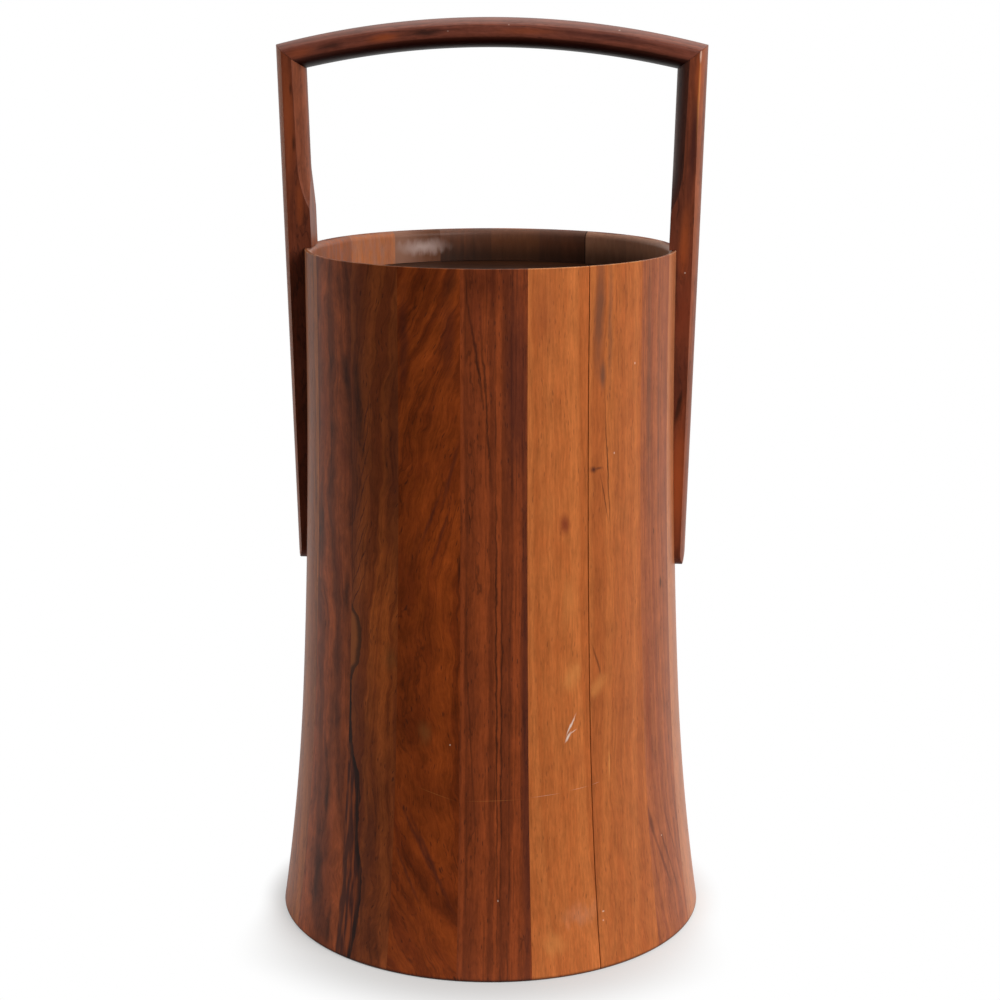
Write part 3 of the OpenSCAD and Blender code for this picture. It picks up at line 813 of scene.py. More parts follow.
STAVE_MARKS = {
    2: ((RUST, 0.6, -8.8, 285, 7, 26, 0.05, 6), (RUST, 0.5, 10, 262, 5, 22, -0.2, 5),
        (INK, 0.45, -2.4, 306, 5, 16, 0.3, 6), (INK, 0.65, 12, 306, 4, 22, -0.2, 4),
        (INK, 0.5, -12, 225, 5, 40, 0, 6), (RUST, 0.5, 6, 205, 5, 20, -0.2, 5),
        (INK, 0.7, 13, 192, 4, 24, 0.05, 3), (INK, 0.45, 2, 110, 7, 70, 0.06, 5),
        (EMBER, 0.65, 12.5, 116, 2.2, 22, 0.05, 2, 0.9), (EMBER, 0.6, 17, 90, 2, 22, 0, 2, 0.9),
        (EMBER, 0.6, 10, 60, 1.8, 26, -0.05, 2, 0.9), (INK, 0.6, 1, 78, 3, 26, 0.05, 3),
        (EMBER, 0.5, 6.5, 38, 1.6, 26, 0.05, 2, 0.9), (INK, 0.6, -3, 28, 4, 30, 0, 3),
        (EMBER, 0.4, -9, 100, 3, 30, 0, 3), (INK, 0.6, 12, 14, 3, 18, 0, 2)),
    3: ((INK, 0.6, -10, 292, 4.5, 36, -0.09, 3), (PLUM, 0.45, 13, 268, 9, 100, 0.01, 3),
        (SAP, 0.5, 11, 164, 7, 10, 0, 6), (PLUM, 0.45, 1, 60, 6, 50, 0.1, 5),
        (INK, 0.75, -15.1, 252, 0.6, 75, 0, 0.3, 0.9),
        *((PLUM, 0.8, -10.5 + 0.8 * i, 196 + 13 * i, 0.55, 17, 0.5 - 0.04 * i, 3.5)
          for i in range(8))),
    4: ((SAP, 0.6, -1.5, 128, 6, 10, 0, 6), (PLUM, 0.6, -3, 70, 2.2, 32, -0.55, 3),
        (PLUM, 0.6, 3, 62, 2, 34, -0.5, 3), (PLUM, 0.5, -9, 52, 1.6, 26, -0.5, 3),
        (INK, 0.45, 12, 356, 6, 14, 0.2, 4), chip(0.6, 12.2, 123, 0.5, 0.6),
        (PLUM, 0.5, -13, 325, 4, 40, 0, 3, 0.9), (PLUM, 0.55, 11, 260, 1.6, 26, 0.25, 2),
        (PLUM, 0.55, 1, 238, 1.6, 24, 0.38, 2), (PLUM, 0.5, 6, 228, 1.4, 24, 0.3, 2),
        (INK, 0.6, 16, 214, 1.2, 12, 0, 1, 0.9), (PLUM, 0.4, 10, 330, 6, 34, 0, 4),
        (HONEY, 0.35, 5, 96.8, 0.8, 3.3, -3.7, 0, 0.9)),
    5: ((INK, 0.75, -9, 322, 1.1, 46, -0.14, 3, 0.9), (INK, 0.65, -4, 300, 0.9, 60, -0.07, 3, 0.9),
        (INK, 0.75, 1.2, 150, 0.8, 215, -0.002, 2.6, 0.9), (PLUM, 0.6, 11, 305, 8, 75, -0.01, 3, 0.8),
        (INK, 0.6, 3.6, 130, 0.7, 190, 0.004, 2.6, 0.9), (INK, 0.35, 7.5, 120, 0.6, 150, 0, 0.8, 0.9),
        (PLUM, 0.6, 16, 130, 4, 220, -0.008, 1, 0.9), (INK, 0.4, -12, 130, 0.6, 75, -0.05, 0.8, 0.9),
        (RUST, 0.45, -9, 338, 5, 24, 0, 4), (HONEY, 0.45, 0, 94.6, 5, 0.6, 30, 0, 0.9),
        chip(0.6, 1.9, 42.6, 0.4, 0.7)),
    6: ((RUST, 0.9, 3.3, 235, 4.2, 8, 0, 5, 0.9), (HONEY, 0.6, 6.0, 156, 7, 11, 0.2, 9),
        (HONEY, 0.5, -6, 18, 10, 9, 0, 9), (BARE, 0.9, 5.8, 131.2, 0.75, 6.8, 0.5, 2.2, 0.8),
        (BARE, 0.95, 3.8, 125, 1.1, 3.4, 0.55, 2.6, 0.8), (BARE, 0.8, 7, 127.6, 0.7, 1.5, 1.6, 1, 0.8),
        (BARE, 0.5, -8.4, 96, 2.6, 0.5, 19, 0, 0.9), (BARE, 0.5, 10, 97.4, 1.6, 0.5, 13, 0, 0.9),
        (RUST, 0.35, -8, 340, 9, 26, 0, 5), (BARE, 0.07, 9, 32, 14, 9, 0, 12),
        (HONEY, 0.25, 5, 196, 6, 22, 0, 4), (RUST, 0.3, 9, 110, 5, 14, 0.2, 4)),
    7: ((ASH, 0.7, -11.8, 340, 5, 46, 0.03, 3), (ASH, 0.75, -9.6, 308, 3, 11, 0, 1.5, 0.9),
        (ASH, 0.5, -5.2, 335, 2.4, 52, 0, 3), (INK, 0.7, -6.2, 262, 0.6, 48, -0.06, 2, 0.9),
        (INK, 0.65, -8.2, 246, 0.5, 19, -0.2, 1.4, 0.9), (PLUM, 0.85, -15.2, 261, 3.6, 2.6, 0, 4),
        (PLUM, 0.6, -11.5, 261.5, 2.8, 1.1, 0, 2), chip(0.6, 12.7, 311.7, 0.5, 0.8),
        chip(0.5, -1.8, 268, 0.4, 0.8), (INK, 0.5, -14, 163, 0.9, 14, -0.31, 0.6, 0.9),
        (HONEY, 0.5, -13, 150, 6, 9, 0.4, 8), (HONEY, 0.75, -7.8, 107, 0.9, 11, 0.03, 0.5, 0.9),
        (BARE, 0.35, -16.6, 98.4, 1.0, 0.5, 6, 0, 0.9), chip(0.5, -16.8, 30.4, 0.9, 0.6),
        chip(0.4, -17.2, 25.7, 0.6, 0.6)),
    8: ((INK, 0.5, -2.7, 221.8, 0.9, 2.6, 0, 0.4, 0.8), (INK, 0.65, 5.0, 192.9, 1.8, 4.4, 0, 0.8, 0.8),
        (INK, 0.4, -9.1, 184, 0.6, 5, 0, 0.4, 0.8), (ASH, 0.6, -8, 300, 3.4, 110, -0.01, 2),
        (ASH, 0.5, 3, 290, 2.0, 90, -0.01, 2), (RUST, 0.5, -12, 130, 4, 60, 0, 2),
        (PLUM, 0.6, -14, 66, 2.4, 14, -0.25, 1.5), (PLUM, 0.5, -7, 46, 1.8, 32, -0.4, 1.5),
        (PLUM, 0.5, 0, 44, 1.6, 36, -0.4, 1.5), (PLUM, 0.4, 6, 52, 1.4, 34, -0.36, 1.5),
        chip(0.55, -5.6, 57.7, 0.6, 0.5)),
}

PALER_WASH = (1.9, 1.9, 1.5)
DARKER_WASH = (0.45, 0.42, 0.5)
STAVE_WASHES = {
    2: ((DARKER_WASH, 0.6, 2, 40, 20, 60, 0, 3),),
    3: ((PALER_WASH, 0.75, 2, 178, 24, 96, 0, 3), (DARKER_WASH, 0.5, 4, 18, 18, 38, 0, 3)),
    4: ((PALER_WASH, 0.3, 0, 234, 18, 60, 0, 3), (DARKER_WASH, 0.5, 0, 96, 18, 26, 0, 4),
        (DARKER_WASH, 0.7, 0, 356, 18, 20, 0, 4)),
    5: ((DARKER_WASH, 0.8, -3, 356, 20, 22, 0, 4), (PALER_WASH, 0.3, -8, 200, 9, 44, 0, 3)),
}
print("stave marks:", sum(len(rows) for rows in STAVE_MARKS.values()))

# %% [markdown]
# Along the left joint of the third stave runs a strip of darker wood. It ends in an ink line that
# wanders with height and swells to a lens half way up. A Float Curve holds that path: height goes in,
# and the distance from the joint comes out. The rest is told by how far a point lies past the line.

# %% Wandering edge
INK_STAVE = 3
INK_EDGE_HIGH = 210
INK_EDGE_WIDE = 20
INK_EDGE_FADE = 12
INK_EDGE = ((0, 10), (16, 12.6), (30, 14), (44, 14.2), (69, 9.8), (91, 10), (112, 4), (137, 1.8),
            (148, 2), (154, 4), (160, 7), (172, 8.4), (182, 6.4), (190, 1), (210, 0))
INK_JOINT = -16.2
INK_SHARE = 0.72
STRIP_SHARE = 0.75
LENS_FOOT = (140, 160)


def path_curve(tree, along):
    """The distance of the ink line from the joint at a height."""
    curve = tree.nodes.new("ShaderNodeFloatCurve")
    line = curve.mapping.curves[0]
    for number, (height, offset) in enumerate(INK_EDGE):
        place = (height / INK_EDGE_HIGH, offset / INK_EDGE_WIDE)
        if number < 2:
            line.points[number].location = place
        else:
            line.points.new(*place)
    curve.mapping.update()
    feed(tree, curve.inputs["Value"], along / INK_EDGE_HIGH)
    return Signal(tree, curve.outputs[0]) * INK_EDGE_WIDE


def dark_edge(tree, plank, colour):
    """Dark wood along the left joint of a stave, ended by an ink line."""
    _, across, along = split(tree, plank)
    wave = noise(tree, along / 6, 2.0) - 0.5
    past = across - INK_JOINT - path_curve(tree, along) + wave * 1.5
    below = along.ramp(INK_EDGE_HIGH, INK_EDGE_HIGH - INK_EDGE_FADE)
    side = past.ramp(0.5, -0.6) * below
    shade = past.ramp(0.4, -0.2) * past.ramp(-4.6, -1.4) * below
    streak = noise(tree, vector(tree, 0, across / 2.6, along / 24), 2.0)
    dark = mix(tree, streak.ramp(0.44, 0.66), PLUM, EMBER)
    dark = mix(tree, along.ramp(*LENS_FOOT), dark, AMBER)
    strip = mix(tree, side * STRIP_SHARE, colour, dark)
    return mix(tree, shade * INK_SHARE, strip, INK)


print("wandering edge:", len(INK_EDGE), "points")

# %% [markdown]
# Inside the mouth the wood was never oiled: it is dry and pale on the left, and greyed on the right.
# The lip is painted paler as a sheen, the wall below it darker towards the lid as painted shade with
# some grime, and one spot carries a painted highlight. The depth of a point in its stave tells the
# inside from the outside. The very foot is painted darker as contact shade.

# %% Mouth and foot
INSIDE_DEPTH = 94.6
GREY_STAVE = 13
GLINT_STAVE = 16
DUST = ((0.560, 0.280, 0.165), (0.430, 0.205, 0.118))
HAZE = (0.330, 0.165, 0.112)
MOUTH_MARKS = {
    13: ((INK, 0.9, -14.0, 353, 0.6, 40, 0, 0.3, 0.8),),
    # The pale rows on staves 15 and 16 paint a highlight: a glint on the inner wall.
    15: ((PAINTED_GLINT, 0.8, 25.5, 353.2, 20, 6, 0, 8),),
    16: ((HAZE, 0.9, 11, 354, 22, 40, 0, 2), (PAINTED_GLINT, 0.8, -3.2, 353.2, 20, 6, 0, 8)),
}
# Darker down the inner wall towards the lid: painted shade with some grime.
MOUTH_SHADE_AND_GRIME = (362, 346)
# Paler on the lip: a painted sheen.
LIP_SHEEN = (355, 365)
# Darker at the very foot: painted contact shade.
FOOT_CONTACT_SHADE = (2.4, 0.6)
SHADE_AND_GRIME_SHARE = 0.75
LIP_SHEEN_SHARE = 0.3


def inside_tones(number):
    """Two tones of the unoiled wood inside the mouth, and how far they cover the stave's own."""
    if number > GLINT_STAVE:
        return BLOOM, BLUSH[0], 0.45
    return (*DUST, 0.85) if number < GREY_STAVE else (*OLIVE[:2], 0.85)


def stave_patina_and_light(number):
    """Washes, dry wood and painted light and shade in the mouth, shade at the foot, one dark edge."""
    low, high, share = inside_tones(number)

    def patina_and_light(tree, plank, colour):
        depth, across, along = split(tree, plank)
        colour = paint(tree, plank, colour, STAVE_WASHES.get(number, ()), mode="MULTIPLY")
        if number == INK_STAVE:
            colour = dark_edge(tree, plank, colour)
        dry = noise(tree, vector(tree, depth, across / 3, along / 9), 3.0).ramp(0.2, 0.8)
        inside = depth.ramp(INSIDE_DEPTH + 1, INSIDE_DEPTH)
        colour = mix(tree, inside * share, colour, mix(tree, dry, low, high))
        if number < GLINT_STAVE:
            # Painted shade with some grime, darker down the inner wall towards the lid.
            colour = mix(tree, inside * along.ramp(*MOUTH_SHADE_AND_GRIME) * SHADE_AND_GRIME_SHARE, colour, INK)
            # A painted sheen on the lip.
            colour = mix(tree, inside * along.ramp(*LIP_SHEEN) * LIP_SHEEN_SHARE, colour, BLOOM)
        colour = paint(tree, plank, colour, MOUTH_MARKS.get(number, ()), within=inside)
        # Painted contact shade at the very foot.
        return mix(tree, along.ramp(*FOOT_CONTACT_SHADE) * SHADE_AND_GRIME_SHARE, colour, INK)

    return patina_and_light


print("mouth: marks on", len(MOUTH_MARKS), "staves")

# %% [markdown]
# A stave is its section bent round its own share of the circle. Its plank lies with the depth along
# the radius through its middle, so the grain runs straight up it. All joints are tight but one: the
# glue has let go between two staves at the front, and the gap there is half a millimetre.

# %% Staves
OPEN_JOINT = 6
OPEN_GAP = 0.5
TIGHT_GAP = -0.01
STAVE_ARRIS = 0.35
STAVE_STEPS = 14


def stave_bounds(number):
    """First and last joint of a stave, in degrees round from +X."""
    start = FIRST_JOINT - 90 + TURN * sum(STAVE_WIDTHS[:number - 1])
    return start, start + TURN * STAVE_WIDTHS[number - 1]


def stave_wood(number, middle):
    """The wood of a stave whose middle lies at an angle."""
    figure = STAVE_FIGURES.get(number) or back_figure(number)
    return wood_finish(f"stave_wood_{number:02d}", (0, 0, -middle), STAVE_KINDS[number - 1],
                       STAVE_MARKS.get(number, ()), stave_patina_and_light(number), seed=number * 1.37, **figure)


def joint_gap(number):
    """Width of the joint after a stave."""
    return OPEN_GAP if number == OPEN_JOINT else TIGHT_GAP


def make_stave(number):
    """One stave, from joint to joint."""
    bounds = stave_bounds(number)
    first, last = (math.radians(angle) for angle in bounds)
    inner_r = TOP_R - WALL
    outer_r = body_radius(0)
    before = joint_gap(number - 1) / 2
    after = joint_gap(number) / 2
    piece = mesh_object(f"wood_stave_{number:02d}", [(r, z, 0) for r, z in SECTION],
                        edges=ring_edges(SECTION))
    run_tree(piece, MOULDING, First_Inside=first + before / inner_r,
             First_Outside=first + before / outer_r, Last_Inside=last - after / inner_r,
             Last_Outside=last - after / outer_r, Inside_Radius=inner_r * MM,
             Outside_Radius=outer_r * MM, Steps=STAVE_STEPS,
             Finish=stave_wood(number, math.radians(sum(bounds) / 2)))
    settle(piece)
    ease_edges(piece, STAVE_ARRIS, 0)
    hand_over(piece, "bucket", "stave_wood", f"stave_{number:02d}")
    return piece


staves = [make_stave(number) for number in range(1, len(STAVE_WIDTHS) + 1)]
print("staves:", len(staves), "pieces of", len(staves[0].data.polygons), "faces")

# %% [markdown]
# The handle is one arch and two arms. In section, all three are crowned on the outside and rounded on
# the inside where the hand goes. The corners are where the outer and the inner lines of an arm meet the
# circles of the arch: a little vector geometry finds them, so that the mitres close.

# %% Handle sizes
HANDLE_TOP = 480
HANDLE_W = 222.4
ARCH_R = 454
HANDLE_T = 15.2
HANDLE_D = 22.5
CROWN_RISE = 4.1
HAND_ROUND = 6.1
FOOT_OUT = (104.4, 193.8)
FOOT_D = 18
FOOT_ROUND = 6.5
SANDED = 1.2
CROWN_STEPS = 14


def rise_radius(rise):
    """Radius of an arc that rises that much over the depth of the handle."""
    return ((HANDLE_D / 2) ** 2 + rise ** 2) / (2 * rise)


def drop(radius, y):
    """How far a circle has fallen away at a distance from its crest."""
    return radius - math.sqrt(radius ** 2 - y ** 2)


CROWN_R = rise_radius(CROWN_RISE)
HAND_R = rise_radius(HAND_ROUND)
ARCH_CENTRE = HANDLE_TOP - ARCH_R
CORNER_OUT = Vector((HANDLE_W / 2, ARCH_CENTRE + math.sqrt(ARCH_R ** 2 - (HANDLE_W / 2) ** 2)))
ARM_UP = (CORNER_OUT - Vector(FOOT_OUT)).normalized()
ARM_SIDE = Vector((ARM_UP.y, -ARM_UP.x))
ARCH_IN_R = ARCH_R - HANDLE_T
from_centre = CORNER_OUT - HANDLE_T * ARM_SIDE - Vector((0, ARCH_CENTRE))
lift = from_centre.dot(ARM_UP)
CORNER_IN = Vector((0, ARCH_CENTRE)) + from_centre + ARM_UP * (
    math.sqrt(lift ** 2 - from_centre.length_squared + ARCH_IN_R ** 2) - lift)
print("handle: corners", [round(c, 1) for c in (*CORNER_OUT, *CORNER_IN)])

# %% [markdown]
# The arch lies on a large circle and its ends are cut at the mitres, so the moulding tree makes it too,
# turned upright. Its crown is painted paler as painted light from above, and its underside darker as
# painted shade. Both are told by the way a face looks, and they multiply the colour of the wood.

# %% Handle arch
HANDLE_TONES = ((0.205, 0.056, 0.034), (0.132, 0.038, 0.026), (0.030, 0.012, 0.010))
ALONG_X = (0, -math.pi / 2, 0)
ARCH_TURN = (-math.pi / 2, -math.pi / 2, 0)
ARCH_STEPS = 64
ARCH_HAND_STEPS = 16
ARCH_MARKS = (
    (EMBER, 0.6, 469.5, -54, 3, 11, 0.1, 2, 0.9), (INK, 0.6, 466, -80, 3, 11, 0.2, 4, 0.9),
    (INK, 0.7, 472, -33, 3.2, 14, 0.07, 4, 0.9), (EMBER, 0.35, 462, -98, 4, 11, 0.2, 2, 0.9),
    (PLUM, 0.5, 470, 62, 3, 40, -0.1, 2, 0.9), (EMBER, 0.3, 473, 20, 2.5, 22, 0, 2, 0.9),
    (BARE, 0.25, 473, -21, 0.5, 0.7, 0, 0, 0.9), (BARE, 0.25, 476.2, 10, 0.5, 0.7, 0, 0, 0.9),
    (BARE, 0.35, 473.4, 66, 0.5, 0.8, 0, 0, 0.9))

SIDEWAYS = 0
UPRIGHT = 2
# Tints by the way a face looks: painted light, painted shade under the arch, a painted grey sheen.
LIT_TINT = (2.5, 3.2, 3.0)
SHADED_TINT = (0.13, 0.07, 0.08)
SHEEN_TINT = (0.75, 1.0, 1.4)
HANDLE_ARRIS = (0.4, 0.1, 4)


def handle_light_and_shade(*faces):
    """Painted light and shade by the way faces look: axis, sense, start, end, change, strength."""

    def patina_and_light(tree, plank, colour):
        normal = split(tree, looking(tree))
        for axis, sense, start, end, change, strength in faces:
            painted = (normal[axis] * sense).ramp(start, end)
            colour = mix(tree, painted * strength, colour, change, "MULTIPLY")
        return colour

    return patina_and_light


def depths(steps, half):
    """Places across the handle at equal steps, from the front to the back."""
    return [half * (2 * i / steps - 1) for i in range(steps + 1)]


def polar(corner):
    """Angle of a corner of the handle about the centre of the arch, from +X."""
    return math.atan2(corner.y - ARCH_CENTRE, corner.x)


half = HANDLE_D / 2
arch_loop = [(ARCH_R - drop(CROWN_R, y), y) for y in depths(CROWN_STEPS, half)]
arch_loop += [(ARCH_IN_R + drop(HAND_R, y), y) for y in reversed(depths(ARCH_HAND_STEPS, half))]
arch = mesh_object("arch_rail", [(r, y, 0) for r, y in arch_loop], edges=ring_edges(arch_loop))
# Painted light on the crown of the arch and painted shade on its underside.
arch_light_and_shade = handle_light_and_shade((UPRIGHT, 1, 0.3, 1.05, LIT_TINT, 0.28), (UPRIGHT, -1, 0.35, 0.8, SHADED_TINT, 1))
arch_wood = wood_finish(
    "arch_wood", ARCH_TURN, HANDLE_TONES, ARCH_MARKS, arch_light_and_shade, gloss=0.2, seed=31.7, pith_depth=-90,
    pith_across=440, band_width=5, wander=4, streaks=0.35, pores=0.5, bow=-1 / (2 * ARCH_R),
    lean=BOW_HEIGHT / ARCH_R)
run_tree(arch, MOULDING, First_Inside=polar(CORNER_IN), First_Outside=polar(CORNER_OUT),
         Last_Inside=math.pi - polar(CORNER_IN), Last_Outside=math.pi - polar(CORNER_OUT),
         Inside_Radius=ARCH_IN_R * MM, Outside_Radius=ARCH_R * MM, Steps=ARCH_STEPS,
         Turn=(math.pi / 2, 0, 0), Centre=(0, 0, ARCH_CENTRE * MM), Finish=arch_wood)
settle(arch)
ease_edges(arch, *HANDLE_ARRIS, SANDED, lambda place: True)
hand_over(arch, "bucket", "handle_wood", "handle_arch")
print("arch:", len(arch.data.polygons), "faces")

# %% [markdown]
# An arm changes along its length: it is coped to the body below the rim, sits over the rim on a
# shoulder, and above that its rounded inner side grows out of a flat one along a curve. So it is
# lofted: a ring of points at each height, all rings with the same number of points, joined by faces.

# %% Arm rings
INNER_LEAN = (CORNER_IN.x - MOUTH_R) / (CORNER_IN.y - RIM)
RUNOUT_Z = RIM + 43
RUNOUT_R = 56
EASE_R = 28
EASE_H = 8
COPE_GAP = 0.05
HAND_STEPS = 7
FOOT_ROUND_USED = 0.97
RUNOUT_USED = 0.99
RUNOUT_FINE = 30
EASE_STEPS = 10
COPE_STEPS = 30
SHOULDER_STEPS = 8
STRAIGHT_Z = 206
ROUND_HEIGHTS = (RUNOUT_Z + 22, RUNOUT_Z + 44)
HAIR = 0.001 * MM


def arm_half_depth(z):
    """Half the depth of an arm at a height, tapered and rounded off at the foot."""
    taper = FOOT_D + (HANDLE_D - FOOT_D) * (z - FOOT_OUT[1]) / (CORNER_OUT.y - FOOT_OUT[1])
    below = FOOT_OUT[1] + FOOT_ROUND - z
    return taper / 2 - (drop(FOOT_ROUND, below * FOOT_ROUND_USED) if below > 0 else 0)


def arm_outside(z, y):
    """Crowned outer face, eased in towards the foot."""
    height = z - FOOT_OUT[1]
    line = FOOT_OUT[0] + height * ARM_UP.x / ARM_UP.y
    ease = drop(EASE_R, EASE_H - height) if height < EASE_H else 0
    return line - max(drop(CROWN_R, y), ease)


def runout_edge(z, half):
    """Half the width of the flat that is left where the rounding runs out."""
    below = min(max(RUNOUT_Z - z, 0), RUNOUT_R * RUNOUT_USED)
    sink = min(drop(RUNOUT_R, below), drop(HAND_R, half))
    return math.sqrt(HAND_R ** 2 - (HAND_R - sink) ** 2), sink


def arm_inside(z, half):
    """Inner face above the rim, from +half to -half: rounded, flat, rounded."""
    line = MOUTH_R + (z - RIM) * INNER_LEAN
    edge, sink = runout_edge(z, half)
    curve = heights(half, edge, HAND_STEPS)
    side = [(line + max(drop(HAND_R, y) - sink, 0), y) for y in curve]
    return side + [(x, -y) for x, y in reversed(side)]


def arm_cope(z, half):
    """Inner face below the rim, which follows the round of the body."""
    radius = body_radius(z) + COPE_GAP
    steps = 2 * HAND_STEPS + 1
    places = [half * (1 - i / steps * 2) for i in range(steps + 1)]
    return [(math.sqrt(radius ** 2 - y ** 2), y) for y in places]


def arm_ring(z, inner):
    """The outline of an arm at a height: first the crowned side, then the inner one."""
    half = arm_half_depth(z)
    outer = [(arm_outside(z, y), y) for y in depths(CROWN_STEPS, half)]
    return [(x, y, z) for x, y in outer + inner(z, half)]


def mitred(ring):
    """A ring slid along the arm on to the plane of the mitre."""
    across = Vector((CORNER_OUT.y - CORNER_IN.y, CORNER_IN.x - CORNER_OUT.x))
    slid = []
    for i, (x, y, z) in enumerate(ring):
        way = ARM_UP if i <= CROWN_STEPS else Vector((INNER_LEAN, 1))
        move = -(Vector((x, z)) - CORNER_IN).dot(across) / way.dot(across)
        slid.append((x + way.x * move, y, z + way.y * move))
    return slid


def loft(name, rings):
    """A closed skin over rings that all have the same number of points."""
    count = len(rings[0])
    points = [point for ring in rings for point in ring]
    faces = [tuple(range(count))]
    for level in range(len(rings) - 1):
        for i in range(count):
            j = (i + 1) % count
            faces.append((level * count + i, (level + 1) * count + i,
                          (level + 1) * count + j, level * count + j))
    faces.append(tuple(range(len(points) - 1, len(points) - count - 1, -1)))
    made = mesh_object(name, points, faces)
    with opened(made.data) as work:
        bmesh.ops.remove_doubles(work, verts=work.verts, dist=2 * HAIR)
        bmesh.ops.dissolve_degenerate(work, dist=HAIR, edges=work.edges)
        bmesh.ops.recalc_face_normals(work, faces=work.faces)
    return made


def arm_rings(side):
    """All rings of an arm: coped below the rim, through the run-out, and up to the mitre."""
    foot = FOOT_OUT[1]
    low = heights(foot, foot + EASE_H, EASE_STEPS) + heights(STRAIGHT_Z, RIM, COPE_STEPS)
    fine = RUNOUT_Z - RUNOUT_FINE
    high = heights(RIM, fine, SHOULDER_STEPS) + heights(fine + 1, RUNOUT_Z, RUNOUT_FINE - 1)
    rings = [arm_ring(z, arm_cope) for z in low]
    rings += [arm_ring(z, arm_inside) for z in (*high, *ROUND_HEIGHTS)]
    rings.append(mitred(rings[-1]))
    return [[(side * x, y, z) for x, y, z in ring] for ring in rings]


right_rings = arm_rings(1)
print("arm rings:", len(right_rings), "of", len(right_rings[0]), "points")

# %% [markdown]
# The arms are painted light and shade as the arch is: paler on the sides that the light reaches, and
# on the inner side of the right arm a painted grey sheen. Two marks paint a highlight down the outer
# arris of the right arm, below the mitre. On the outer face the arrises were sanded soft, and the
# others are crisp. A test on the place of an edge tells which is which.

# %% Handle arms
ARM_TURN = (0, 0, math.pi / 2)
ARM_MARKS = {
    "right": (
        (EMBER, 0.65, 106.5, 449, 3, 20, 0.03, 2, 0.9), (PLUM, 0.75, 104.3, 416, 3.2, 40, 0.04, 2, 0.9),
        (EMBER, 0.6, 101, 366, 4, 26, 0.03, 2, 0.9), (RUST, 0.5, 101, 330, 6, 24, 0.03, 3, 0.9),
        (PLUM, 0.3, 101, 300, 5, 24, 0.06, 2, 0.9), (INK, 0.85, 99.6, 280, 1.8, 12, 0.17, 0.8, 0.7),
        (EMBER, 0.7, 100, 240, 6, 50, 0.02, 2, 0.9), chip(0.5, 101.5, 351, 0.5, 0.6),
        # These two rows paint a highlight down the outer arris, below the mitre.
        (HONEY, 0.45, 106.7, 442, 0.9, 30, 0.025, 0.6, 0.9),
        (BARE, 0.45, 107.2, 461, 0.8, 5, 0.025, 0.4, 0.9)),
    "left": (
        (EMBER, 0.45, -104, 428, 4, 44, -0.02, 2, 0.9), (INK, 0.6, -102.4, 444, 1.2, 5, 0, 0.6, 0.9),
        (INK, 0.6, -101.4, 416, 1.3, 6, 0, 0.6, 0.9), (INK, 0.12, -98, 265, 4, 80, -0.02, 2, 0.9),
        (EMBER, 0.4, -99, 385, 3, 18, -0.02, 2, 0.9)),
}
# Painted light on the sides that the light reaches, and a painted grey sheen inside the right arm.
ARM_LIGHT_AND_SHADE = {
    "right": handle_light_and_shade((SIDEWAYS, 1, 0.35, 1.0, LIT_TINT, 0.5), (SIDEWAYS, -1, 0.3, 0.9, SHEEN_TINT, 1)),
    "left": handle_light_and_shade((SIDEWAYS, -1, 0.2, 0.8, LIT_TINT, 1), (SIDEWAYS, 1, 0.3, 0.9, LIT_TINT, 0.34)),
}
ARM_TONES = ((0.195, 0.047, 0.021), (0.130, 0.032, 0.016), (0.028, 0.010, 0.008))
CROWN_EDGE = 4.6


def on_crown(place):
    """Whether a place is at the edge of the crowned outer face of an arm."""
    return abs(place.x) / MM > arm_outside(place.z / MM, 0) - CROWN_EDGE


def make_arm(word, side, seed):
    """One arm; side is 1 for the right one and -1 for the left one."""
    piece = loft(f"arm_{word}", arm_rings(side))
    piece.data.materials.append(wood_finish(
        f"arm_wood_{word}", ARM_TURN, ARM_TONES, ARM_MARKS[word], ARM_LIGHT_AND_SHADE[word], seed=seed,
        pith_depth=-60, pith_across=65 * side, band_width=5, wander=4, streaks=0.45, pores=0.6))
    ease_edges(piece, *HANDLE_ARRIS, SANDED, on_crown)
    hand_over(piece, "bucket", "handle_wood", f"handle_arm_{word}")
    return piece


arms = [make_arm("right", 1, 41.3), make_arm("left", -1, 52.9)]
print("arms:", len(arms[0].data.polygons), "faces each")

# %% [markdown]
# The lid and the bottom are three boards each, turned to a disc after gluing. Their solids already
# have the right shape, pockets and dowel holes included, so the pieces start as copies of them. A
# frame mesh is loose triangles: joining the points and merging what is flat gives clean faces, and
# then the edges can be eased.

# %% Turned boards
ALONG_Y = (math.pi / 2, 0, 0)
FLAT = math.radians(0.3)
ROWS = ("front", "middle", "back")


def copy_node(node, name):
    """A frame node's solid as a new object with clean faces."""
    made = bpy.data.objects.new(name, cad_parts[node].data.copy())
    scene.collection.objects.link(made)
    made.data.name = name
    made.data.materials.clear()
    if "custom_normal" in made.data.attributes:
        made.data.attributes.remove(made.data.attributes["custom_normal"])
    with opened(made.data) as work:
        bmesh.ops.remove_doubles(work, verts=work.verts, dist=3 * HAIR)
        bmesh.ops.dissolve_limit(work, angle_limit=FLAT, verts=work.verts, edges=work.edges)
    return made


def make_board(node, name, body, slot, finish, ease):
    """A piece that takes its shape from a frame node and stands for it."""
    piece = copy_node(node, name)
    piece.data.materials.append(finish)
    ease_edges(piece, ease, ease)
    hand_over(piece, body, slot, node)
    return piece


print("turned boards: ready")

# %% [markdown]
# The lid has a low bar for a grip across a hollow. Deep in the mouth it looks almost black, from old
# oil, and a ring of painted shade with some grime darkens it where it meets the staves. The ring is
# told by the distance from the middle of the lid, on the faces that look up.

# %% Lid
LID_TONES = ((0.050, 0.017, 0.007), (0.032, 0.011, 0.005), (0.010, 0.006, 0.004))
LID_GLOSS = 0.02
LID_ARRIS = 0.35
GRIP_ARRIS = 0.5
# Painted shade with some grime: a dark ring where the lid meets the staves.
SHADE_AND_GRIME_RING = (86.5, 90.5)


